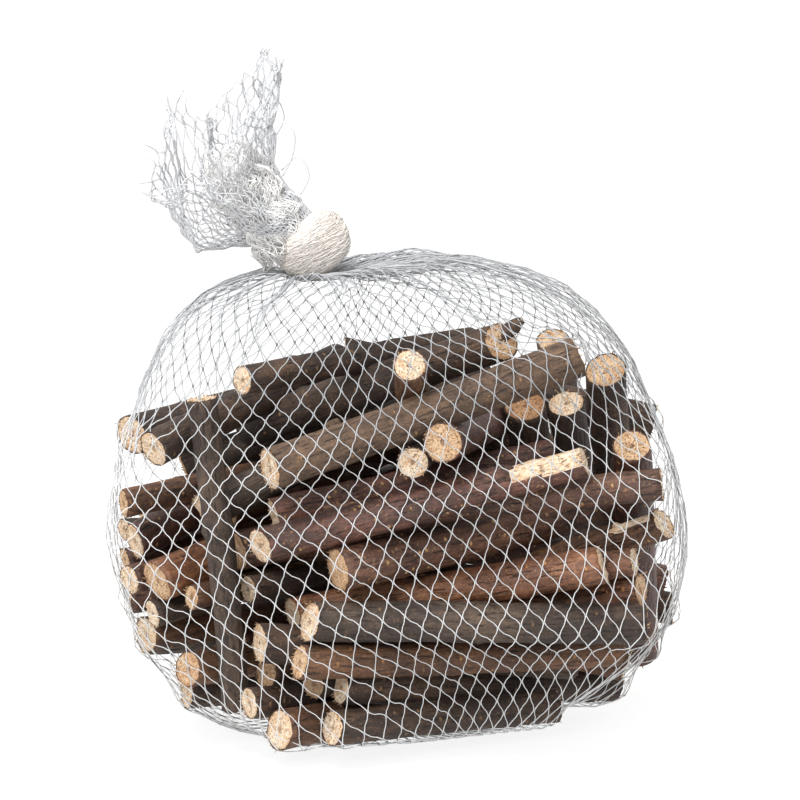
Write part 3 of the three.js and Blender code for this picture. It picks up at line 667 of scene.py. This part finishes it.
def twig_axes(node, near, middle, far):
    """A twig's own axes, with x towards the camera and z along it, and 1 or -1 for which way round is up."""
    axis_z = unit(far - near)
    to_eye = EYE - middle
    axis_x = unit(to_eye - (to_eye @ axis_z) * axis_z)
    axis_y = np.cross(axis_z, axis_x)
    rising = axis_y[0] if node.startswith("twig_upright") else axis_y[2]
    return np.array([axis_x, axis_y, axis_z]), 1 if rising >= 0 else -1


def twig_rings(near, middle, far, radii, axes, along, angles, relief):
    """The rings of a twig's bark, from its near to its far end."""
    length = np.linalg.norm(far - near)
    radius = radii[0] + (radii[1] - radii[0]) * along
    reach = radius[:, None] + relief
    bow = middle - (near + far) / 2
    line = near + np.outer(along * length, axes[2]) + np.outer(4 * along * (1 - along), bow)
    across = np.outer(np.cos(angles), axes[0]) + np.outer(np.sin(angles), axes[1])
    return line[:, None, :] + reach[:, :, None] * across[None, :, :]


def slope_ends(rng, rings, along, angles, axis_z, radius, steep):
    """Slopes and roughens both cut ends. The near one slopes by as much more as the camera needs."""
    slopes = rng.uniform(-END_SLOPE, END_SLOPE, 4)
    slopes[0] += steep
    shares = (np.clip(1 - along / END_SHARE, 0, 1), np.clip(1 - (1 - along) / END_SHARE, 0, 1))
    shifts = (0.5 * abs(steep) * radius, 0)
    for share, first, second, shift in zip(shares, slopes[::2], slopes[1::2], shifts):
        lean = (first * np.cos(angles) + second * np.sin(angles)) * radius + shift
        lean = lean + RIM_ROUGHNESS * rng.uniform(-1, 1, SIDES)
        rings += np.outer(share, lean)[:, :, None] * axis_z


def close_ends(rng, rings, axis_z):
    """The cut faces and splinters of both ends: vertices, faces, and for each face 1 where it is wood."""
    vertices, faces, skin = [], [], []
    total = SECTIONS * SIDES
    for index, way in ((0, -axis_z), (SECTIONS - 1, axis_z)):
        rim = rings[index]
        centre = rim.mean(axis=0)
        cap, cap_faces = cut_face(rng, rim, centre, way, total)
        joint = []
        for k in range(SIDES):
            after = (k + 1) % SIDES
            joint.append((index * SIDES + k, index * SIDES + after, total + after, total + k))
        faces += [f[::-1] if index == 0 else f for f in joint + cap_faces]
        skin += [0] * SIDES + [1] * len(cap_faces)
        total += len(cap)
        torn, torn_faces = splinters(rng, rim, centre, way, total)
        faces += torn_faces
        skin += [1] * len(torn_faces)
        total += len(torn)
        vertices += [cap, torn]
    return vertices, faces, skin


def make_twig(node, number):
    """A twig with bark, cut ends and what its look adds, in place of a packed one."""
    rng = np.random.default_rng(SEED + number)
    look = TWIG_LOOKS.get(node, {})
    bark = BARKS[look.get("bark", OTHER_BARKS[number % len(OTHER_BARKS)])]
    wood = WOODS[look.get("wood", OTHER_WOODS[number % len(OTHER_WOODS)])]
    near, middle, far, radii = middle_line(node, node.split("_")[1])
    axes, up = twig_axes(node, near, middle, far)
    mean_radius = np.mean(radii)
    along = np.linspace(0, 1, SECTIONS)
    around = np.arange(SIDES) / SIDES
    angles = around * 2 * math.pi
    relief = bark_relief(rng, along, around, np.linalg.norm(far - near), mean_radius, look, up)
    peeled = peeled_share(rng, along, around, look, up)
    if "peel" in look:
        relief -= look["peel"][4] * peeled
    rings = twig_rings(near, middle, far, radii, axes, along, angles, relief)
    slope_ends(rng, rings, along, angles, axes[2], mean_radius, cut_slope(node, near, axes[0], axes[2]))
    faces = grid_faces(SECTIONS, SIDES)
    skin = [1 if peeled[k // SIDES, k % SIDES] else 0 for k in range(len(faces))]
    ends, end_faces, end_skin = close_ends(rng, rings, axes[2])
    vertices = np.vstack([rings.reshape(-1, 3)] + ends)
    faces += end_faces
    skin += end_skin
    if look.get("stub"):
        stub, stub_faces, stub_end = stub_mesh(rng, near, axes[2], len(vertices))
        vertices = np.vstack([vertices, stub])
        faces += stub_faces + stub_end
        skin += [0] * len(stub_faces) + [1] * len(stub_end)
    origin = near - axes[2] * OFFSET_PER_TWIG * (number + 1)
    piece = make_mesh("wood_" + node, (vertices - origin) @ axes.T * MM, faces, [bark, wood], skin)
    piece.matrix_world = Matrix.Translation(Vector(origin * MM)) @ Matrix(axes.T.tolist()).to_4x4()
    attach(piece, "root")
    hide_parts(node)
    return near, far, mean_radius


def make_twigs():
    names = sorted(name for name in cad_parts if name.startswith("twig_"))
    return [make_twig(name, number) for number, name in enumerate(names)]


def tubes(paths, radii, sides=THREAD_SIDES):
    """Vertices and faces of closed tubes. paths is (tubes, points, 3), radii is (tubes, points)."""
    count, steps, _ = paths.shape
    tangent = unit(np.gradient(paths, axis=1))
    start = np.cross(tangent[:, 0], np.array([0.31, 0.87, 0.38]))
    normal = np.empty_like(paths)
    current = unit(start)
    for k in range(steps):
        current = unit(current - (current * tangent[:, k]).sum(axis=1, keepdims=True) * tangent[:, k])
        normal[:, k] = current
    binormal = np.cross(tangent, normal)
    angles = np.arange(sides) * 2 * math.pi / sides
    spoke = normal[:, :, None, :] * np.cos(angles)[:, None]
    spoke = spoke + binormal[:, :, None, :] * np.sin(angles)[:, None]
    vertices = paths[:, :, None, :] + radii[:, :, None, None] * spoke
    base = (np.arange(count) * steps * sides)[:, None, None]
    row = (np.arange(steps - 1) * sides)[None, :, None]
    side = np.arange(sides)[None, None, :]
    a = base + row + side
    b = base + row + (side + 1) % sides
    quads = np.stack([a, b, b + sides, a + sides], axis=-1).reshape(-1, 4).tolist()
    first = base[:, 0] + np.arange(sides)[::-1][None, :]
    last = base[:, 0] + (steps - 1) * sides + np.arange(sides)[None, :]
    caps = first.tolist() + last.tolist()
    return vertices.reshape(-1, 3), quads + caps


def catmull(table, places):
    """Values of a table of rows at fractional row numbers, on a smooth curve through the rows."""
    table = np.asarray(table, dtype=float)
    last = len(table) - 1
    index = np.clip(np.floor(places).astype(int), 0, last - 1)
    t = (places - index)[:, None]
    before, here = table[np.maximum(index - 1, 0)], table[index]
    after, beyond = table[index + 1], table[np.minimum(index + 2, last)]
    return 0.5 * (
        2 * here
        + (after - before) * t
        + (2 * before - 5 * here + 4 * after - beyond) * t ** 2
        + (3 * here - before - 3 * after + beyond) * t ** 3
    )


def plan_points(row, shares):
    """Points round one row of the pouch at even shares of its circumference."""
    up, left, right, deep, square, rise, back = row
    angle = np.linspace(0, 2 * math.pi, 1441)
    power = 2 / max(square, 2)
    cos, sin = np.cos(angle), np.sin(angle)
    x = (left + right) / 2 + (right - left) / 2 * np.sign(cos) * np.abs(cos) ** power
    y = deep * np.sign(sin) * np.abs(sin) ** power + back * np.maximum(cos, 0) ** 2
    z = up + rise * cos
    outline = np.stack([x, y, z], axis=1)
    walked = np.concatenate([[0], np.cumsum(np.linalg.norm(np.diff(outline, axis=0), axis=1))])
    wanted = (shares % 1) * walked[-1]
    return np.stack([np.interp(wanted, walked, outline[:, k]) for k in range(3)], axis=1)


def even_rows(table, count, shares):
    """Rows of the table at even distances up the pouch."""
    dense = catmull(table, np.linspace(0, len(table) - 1, 400))
    dense[:, 0] = np.maximum(dense[:, 0], FLOOR_HEIGHT)
    points = np.array([plan_points(row, shares) for row in dense])
    steps = np.linalg.norm(np.diff(points, axis=0), axis=2).mean(axis=1)
    walked = np.concatenate([[0], np.cumsum(steps)])
    wanted = np.linspace(0, walked[-1], count)
    return np.stack([np.interp(wanted, walked, dense[:, k]) for k in range(dense.shape[1])], axis=1)


def push_out(points, outs, twigs, gap, passes=3):
    """Moves points that are too near a twig straight out of the pouch until they clear it by the gap."""
    flat = points.reshape(-1, 3).copy()
    ways = outs.reshape(-1, 3)
    for _ in range(passes):
        for near, far, radius in twigs:
            axis = unit(far - near)
            inset = 0.6 * radius
            along = np.clip((flat - near) @ axis, inset, np.linalg.norm(far - near) - inset)
            away = flat - near - along[:, None] * axis
            need = radius + gap
            inside = (away ** 2).sum(axis=1) < need ** 2
            straight = (away[inside] * ways[inside]).sum(axis=1)
            square = np.maximum(straight ** 2 - (away[inside] ** 2).sum(axis=1) + need ** 2, 0)
            flat[inside] += (np.sqrt(square) - straight)[:, None] * ways[inside]
    flat[:, 2] = np.maximum(flat[:, 2], FLOOR_HEIGHT)
    return flat.reshape(points.shape)


def net_directions(rows):
    """The way up along the net, round it and out of it, at each crossing."""
    up = np.empty_like(rows)
    up[1:-1] = rows[2:] - rows[:-2]
    up[0] = rows[1] - rows[0]
    up[-1] = rows[-1] - rows[-2]
    around = unit(np.roll(rows, -1, axis=1) - np.roll(rows, 1, axis=1))
    up = unit(up - (up * around).sum(axis=2, keepdims=True) * around)
    return up, around, np.cross(around, up)


def gather(share, up_share):
    """Leans the columns, and bunches them into pleats more and more towards the neck."""
    left = smooth_step((share % 1 - LEAN_LEFT[0]) / (LEAN_LEFT[1] - LEAN_LEFT[0]))
    right = 1 - smooth_step((share % 1) / LEAN_LEFT[0])
    moved = share + LEAN * (1 - up_share) * np.maximum(left, right)
    strength = smooth_step((up_share - PLEAT_START) / (1 - PLEAT_START))
    for number, amount, phase in PLEATS:
        swing = 2 * math.pi * number
        moved = moved + strength * amount * np.sin(swing * share + phase) / swing
    return moved


def pouch_surface(row, share):
    """Points on the pouch at fractional rows and shares of the way round."""
    steps = 360
    even = np.arange(steps) / steps
    table = even_rows(POUCH_ROWS, HALF_ROWS, even)
    dense = np.array([plan_points(line, even) for line in table])
    low = np.clip(np.floor(row).astype(int), 0, HALF_ROWS - 2)
    left = np.floor((share % 1) * steps).astype(int) % steps
    down = (row - low)[..., None]
    right = ((share % 1) * steps - left)[..., None]
    lower = dense[low, left] * (1 - right) + dense[low, (left + 1) % steps] * right
    upper = dense[low + 1, left] * (1 - right) + dense[low + 1, (left + 1) % steps] * right
    return lower * (1 - down) + upper * down


def pouch_lattice():
    """The crossings on the free pouch, with the share of the way up and round of each."""
    number = np.arange(HALF_ROWS)[:, None]
    up_share = number / (HALF_ROWS - 1)
    even = (np.arange(COLUMNS)[None, :] + 0.5 * (number % 2)) / COLUMNS
    share = gather(even, up_share)
    bell = np.sin(math.pi * up_share) ** 0.8
    rise = ROW_RISE * bell * (0.35 + 0.5 * np.cos(2 * math.pi * share))
    row = np.clip(number + rise, 0, HALF_ROWS - 1)
    return pouch_surface(row, share), up_share, even


def sink_towards(twigs, base, out):
    """How far each crossing sinks from the free pouch towards the twigs, in small steps that even it out."""
    flank = smooth_step((np.abs(out[:, :, 1]) - 0.45) / 0.35)
    low = smooth_step((HUG_HEIGHT - base[:, :, 2]) / 18) * smooth_step((base[:, :, 2] - 3) / 10)
    limit = HUG_DEPTH * flank * low
    sunk = np.zeros((HALF_ROWS, COLUMNS))
    for _ in range(HUG_STEPS):
        sunk = np.minimum(sunk + HUG_STEP, limit)
        side = (np.roll(sunk, 1, axis=1) + np.roll(sunk, -1, axis=1)) / 2
        above = np.vstack([sunk[1:], sunk[-1:]])
        below = np.vstack([sunk[:1], sunk[:-1]])
        sunk = 0.5 * sunk + 0.25 * side + 0.125 * (above + below)
        placed = base - sunk[:, :, None] * out
        pushed = push_out(placed, out, twigs, NET_GAP, 1)
        sunk = sunk - ((pushed - placed) * out).sum(axis=2)
    return sunk


def pouch_crossings(twigs):
    """Where the threads of the pouch cross. It hugs the twigs, and gathers into the neck."""
    rng = np.random.default_rng(SEED)
    base, up_share, even = pouch_lattice()
    out = net_directions(base)[2]
    pleat = smooth_step((up_share - PLEAT_START) / 0.3) * smooth_step((1 - up_share) / 0.12)
    ripple = sum(a * np.sin(2 * math.pi * n * even + p + 1.3) for n, a, p in PLEATS)
    base = base + (pleat * ripple * PLEAT_DEPTH)[:, :, None] * out
    inner = smooth_step(up_share / 0.3) * smooth_step((1 - up_share) / 0.1)
    base += (inner[..., None] * 1.1) * soft_noise(base, 34, 11)
    rows = base - sink_towards(twigs, base, out)[:, :, None] * out
    rows += inner[..., None] * 0.3 * rng.uniform(-1, 1, rows.shape)
    return push_out(rows, out, twigs, NET_GAP)


def make_folds(rows):
    """Bunches of threads that run from the knot down the net and part on the way."""
    rng = np.random.default_rng(SEED + 400)
    _, around, out = net_directions(rows)
    paths = []
    for fold in range(FOLDS):
        column = int(COLUMNS * (fold + rng.uniform(0.2, 0.8)) / FOLDS)
        reach = rng.uniform(*FOLD_ROWS)
        sideways = unit(around[HALF_ROWS - 1 - FOLD_ROWS[0], column])
        line = []
        for step in range(FOLD_ROWS[1] + 2):
            row = HALF_ROWS - 1 - step
            middle = (rows[row, column] + rows[row, column - row % 2]) / 2
            line.append(middle + FOLD_LIFT * out[row, column])
        for _ in range(FOLD_THREADS):
            places = np.linspace(0, reach * rng.uniform(0.7, 1), FOLD_POINTS)
            path = catmull(line, places)
            spread = FOLD_WIDTH * rng.uniform(-1, 1) * np.linspace(0.2, 1, FOLD_POINTS)
            sway = FOLD_SWAY * np.sin(places * rng.uniform(0.5, 1.2) + rng.uniform(0, 6))
            paths.append(path + (spread + sway)[:, None] * sideways)
    add_threads("netting_folds", np.array(paths), THREAD_RADIUS, NETTING)


def strand_paths(rows, twigs):
    """Each strand of a net from its crossing to one in the next row, as it bends out of the crossings."""
    up, around, out = net_directions(rows)
    starts, ends, leave, arrive, normals = [], [], [], [], []
    for j in range(rows.shape[0] - 1):
        for way in (0, -1):
            shift = (j % 2) + way
            side = CROSSING_WIDTH / 2 if way == 0 else -CROSSING_WIDTH / 2
            starts.append(rows[j] + around[j] * side)
            ends.append(np.roll(rows[j + 1] - around[j + 1] * side, -shift, axis=0))
            leave.append(up[j])
            arrive.append(np.roll(up[j + 1], -shift, axis=0))
            normals.append(out[j] + np.roll(out[j + 1], -shift, axis=0))
    start, end = np.vstack(starts), np.vstack(ends)
    leave, arrive, normal = np.vstack(leave), np.vstack(arrive), unit(np.vstack(normals))
    length = np.linalg.norm(end - start, axis=1, keepdims=True)
    straight = (end - start) / np.maximum(length, 1e-6)
    leave, arrive = unit(leave + 0.7 * straight), unit(arrive + 0.7 * straight)
    half = np.minimum(NODE_HALF_HEIGHT, 0.2 * length)
    one, other = start + leave * half, end - arrive * half
    pull = 0.3 * length
    paths = [start, one]
    for t in (0.32, 0.68):
        paths.append(
            (1 - t) ** 3 * one
            + 3 * (1 - t) ** 2 * t * (one + leave * pull)
            + 3 * (1 - t) * t ** 2 * (other - arrive * pull)
            + t ** 3 * other
        )
    paths = np.stack(paths + [other, end], axis=1)
    if twigs:
        outs = np.repeat(normal[:, None, :], paths.shape[1], axis=1)
        paths = push_out(paths, outs, twigs, STRAND_GAP)
    return paths


def strand_radii(paths, thread):
    """Thicker at both ends, where two strands cross."""
    node = NODE_RADIUS
    profile = np.array([node, 0.8 * node, thread, thread, 0.8 * node, node])
    return np.broadcast_to(profile, paths.shape[:2])


def add_netting(name, vertices, faces, material, replaced=None):
    """One piece of netting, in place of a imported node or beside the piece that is."""
    piece = make_mesh(name, vertices * MM, faces, [material])
    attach(piece, "root")
    if replaced:
        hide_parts(replaced)


def make_net(name, rows, twigs, material, replaced, thread, pieces=1):
    """A net of threads through crossings, in as many pieces as keep each one light."""
    for number, part in enumerate(np.array_split(strand_paths(rows, twigs), pieces)):
        vertices, faces = tubes(part, strand_radii(part, thread))
        add_netting(f"{name}_{number + 1}", vertices, faces, material, replaced)


def add_threads(name, paths, radius, material, replaced=None):
    """A piece of threads of even thickness along paths."""
    vertices, faces = tubes(paths, np.full(paths.shape[:2], radius))
    add_netting(name, vertices, faces, material, replaced)


def make_lump(name, points, material):
    """A closed lump through rings of points, under threads that lie on it."""
    rings, turns = points.shape[:2]
    faces = grid_faces(rings, turns)
    faces += [tuple(range(turns))[::-1], tuple((rings - 1) * turns + k for k in range(turns))]
    add_netting(name, points.reshape(-1, 3), faces, material)


def points_about(origin, axis, rise, reach, angle, depth_share):
    """Points at angles about an axis, so far up along it and so far out from it."""
    axis = unit(axis)
    side = unit(np.cross((0, 1, 0), axis))
    deep = np.cross(axis, side)
    return (
        origin
        + (rise + 0 * angle)[..., None] * axis
        + (reach * np.cos(angle))[..., None] * side
        + (depth_share * reach * np.sin(angle))[..., None] * deep
    )


def knot_point(angle, latitude, lift):
    """Points on the knot, from the angle about its axis and how far up the axis they are."""
    reach = (KNOT_RADIUS + lift) * np.maximum(np.cos(latitude), 0) ** 0.5
    rise = KNOT_HALF_LENGTH * np.sin(latitude)
    points = points_about(KNOT_MIDDLE, KNOT_AXIS, rise, reach, angle, KNOT_DEPTH_SHARE)
    return points + 1.1 * soft_noise(points, 17, 21)


def make_knot():
    """A lump of wound threads over a solid core."""
    rng = np.random.default_rng(SEED + 100)
    steps = 60
    angle = np.linspace(0, 2 * math.pi, steps)[None, :]
    base = np.linspace(-1.35, 1.35, KNOT_THREADS)[:, None] + rng.uniform(-0.03, 0.03, (KNOT_THREADS, 1))
    phases = rng.uniform(0, 6, (4, KNOT_THREADS, 1))
    latitude = base + 0.16 * np.sin(angle + phases[0]) + 0.05 * np.sin(3 * angle + phases[1])
    latitude = latitude + 0.03 * np.sin(7 * angle + phases[2])
    lift = 0.2 * rng.uniform(-1, 1, (KNOT_THREADS, 1)) + 0.2 * np.sin(4 * angle + phases[3]) - 0.4
    wound = knot_point(angle, latitude, lift)
    add_threads("netting_knot_threads", wound, KNOT_THREAD_RADIUS, KNOTTED, "net_knot")
    turns, bands = 40, 24
    around = np.linspace(0, 2 * math.pi, turns, endpoint=False)[None, :]
    level = np.linspace(-1.5, 1.5, bands)[:, None]
    make_lump("netting_knot_core", knot_point(around, level, -KNOT_CORE_DEPTH), KNOTTED)


def closed_curve(points, shares):
    """A smooth closed curve through points, at shares of the way round."""
    points = np.asarray(points, dtype=float)
    count = len(points)
    wrapped = np.vstack([points[-1:], points, points[:2]])
    return catmull(wrapped, 1 + (shares % 1) * count)


def soft_noise(points, size, seed):
    """Smooth vector noise for points, from sines in several directions."""
    rng = np.random.default_rng(seed)
    result = np.zeros_like(points)
    for _ in range(6):
        way = unit(rng.normal(size=3)) * 2 * math.pi / (size * rng.uniform(0.6, 1.6))
        swing = unit(rng.normal(size=3))
        result += np.sin(points @ way + rng.uniform(0, 6))[..., None] * swing
    return result / 2.4


def make_tail():
    """The loose netting above the knot: a crumpled funnel with two wings, a dense core and frayed ends."""
    shares = np.arange(TAIL_COLUMNS) / TAIL_COLUMNS
    places = np.linspace(0, len(TAIL_LOOPS) - 1, TAIL_HALF_ROWS)
    rows = []
    for j, place in enumerate(places):
        moved = shares + (0.5 if j % 2 else 0) / TAIL_COLUMNS
        loops = np.array([closed_curve(loop, moved) for loop in TAIL_LOOPS])
        rows.append(np.stack([catmull(loops[:, k], np.array([place]))[0] for k in range(TAIL_COLUMNS)]))
    rows = np.array(rows)
    growth = (np.linspace(0, 1, TAIL_HALF_ROWS) ** 0.7)[:, None, None]
    rows += growth * sum(deep * soft_noise(rows, wide, seed) for deep, wide, seed in TAIL_CRUMPLES)
    make_net("netting_tail", rows, None, SHADED_TAIL_NETTING, "net_tail", TAIL_THREAD_RADIUS)
    make_core_threads()
    make_frayed_ends(rows)


def core_width(share):
    return CORE_RADIUS[0] + (CORE_RADIUS[1] - CORE_RADIUS[0]) * share


def make_core_threads():
    """The crumpled threads inside the tail, just above the knot, and the loops that stand off it."""
    rng = np.random.default_rng(SEED + 200)
    t = np.linspace(0, 1, 9)[None, :]
    start = 0.7 * rng.uniform(0, 1, (CORE_THREADS, 1)) ** 1.3 - 0.1
    share = start + 0.4 * t
    angle = rng.uniform(0, 2 * math.pi, (CORE_THREADS, 1)) + rng.uniform(-2, 2, (CORE_THREADS, 1)) * t
    reach = core_width(share) * np.sqrt(rng.uniform(0.62, 1.05, (CORE_THREADS, 1)))
    paths = points_about(CORE_ROOT, CORE_AXIS, CORE_LENGTH * share, reach, angle, CORE_DEPTH_SHARE)
    paths += 2 * soft_noise(paths, 7, 5)
    add_threads("netting_tail_core", paths, CORE_THREAD_RADIUS, CORE_PAINTED_LIGHT)
    make_core_lump()
    loops = [catmull(loop, np.linspace(0, len(loop) - 1, 24)) for loop in LOOSE_LOOPS]
    add_threads("netting_loose_loops", np.array(loops), TAIL_THREAD_RADIUS, SHADED_TAIL_NETTING)


def make_core_lump():
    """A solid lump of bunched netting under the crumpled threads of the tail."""
    start, stop, width = CORE_LUMP
    turns, bands = 36, 18
    around = np.linspace(0, 2 * math.pi, turns, endpoint=False)[None, :]
    share = np.linspace(0, 1, bands)[:, None]
    along = start + (stop - start) * share
    reach = width * core_width(along) * (1 - 0.97 * np.abs(2 * share - 1) ** 3.5) ** 0.5
    points = points_about(CORE_ROOT, CORE_AXIS, CORE_LENGTH * along, reach, around, CORE_DEPTH_SHARE)
    make_lump("netting_tail_lump", points + 1.5 * soft_noise(points, 7, 5), CORE_PAINTED_LIGHT)


def make_frayed_ends(rows):
    """Cut thread ends that stand off the edge of the tail."""
    rng = np.random.default_rng(SEED + 300)
    t = np.linspace(0, 1, 6)[:, None]
    paths = []
    for k in range(FRAYED_ENDS):
        column = rng.integers(0, TAIL_COLUMNS)
        row = TAIL_HALF_ROWS - 1 - (k % 3 == 0) * rng.integers(0, 3)
        root = rows[row, column]
        way = unit(rows[row, column] - rows[row - 2, column] + rng.normal(size=3) * 2)
        bend = rng.normal(size=3) * 1.5
        paths.append(root + t * way * rng.uniform(2, 5.5) + t ** 2 * bend)
    add_threads("netting_frayed_ends", np.array(paths), TAIL_THREAD_RADIUS, SHADED_TAIL_NETTING)


def make_floor():
    signs = [(-1, -1), (1, -1), (1, 1), (-1, 1)]
    corners = [(x * FLOOR_SIZE, y * FLOOR_SIZE, 0) for x, y in signs]
    floor = make_mesh("floor", np.array(corners), [(0, 1, 2, 3)], [floor_material()])


def turn_towards(obj, aim):
    obj.rotation_euler = (aim - obj.location).to_track_quat("-Z", "Y").to_euler()


def make_light(name, place, size, power):
    data = bpy.data.lights.new(name, "AREA")
    data.shape = "DISK"
    data.size = size
    data.energy = power
    light = add_object(name, data)
    light.location = place
    turn_towards(light, Vector((0, 0, LIGHT_AIM)))


def make_studio():
    world = bpy.data.worlds.new("studio")
    world.use_nodes = True
    inputs = world.node_tree.nodes["Background"].inputs
    inputs["Color"].default_value = (1, 1, 1, 1)
    inputs["Strength"].default_value = WORLD_LIGHT
    bpy.context.scene.world = world
    bpy.context.scene.view_settings.view_transform = "Standard"
    make_light("above", (-0.35, -0.35, 1.2), 0.5, 13)
    make_light("front", (-0.5, -1.3, 0.8), 0.4, 9)


def make_camera():
    data = bpy.data.cameras.new("camera")
    data.lens = CAMERA_LENS
    data.sensor_width = 36
    data.clip_start = 0.05
    camera = add_object("camera", data)
    camera.location = EYE * MM
    turn_towards(camera, Vector(CAMERA_AIM) * MM)
    bpy.context.scene.camera = camera


make_camera()
twigs = make_twigs()
crossings = pouch_crossings(twigs)
make_net("netting_pouch", crossings, twigs, NETTING, "net_pouch", THREAD_RADIUS, 2)
make_folds(crossings)
make_knot()
make_tail()
make_floor()
make_studio()
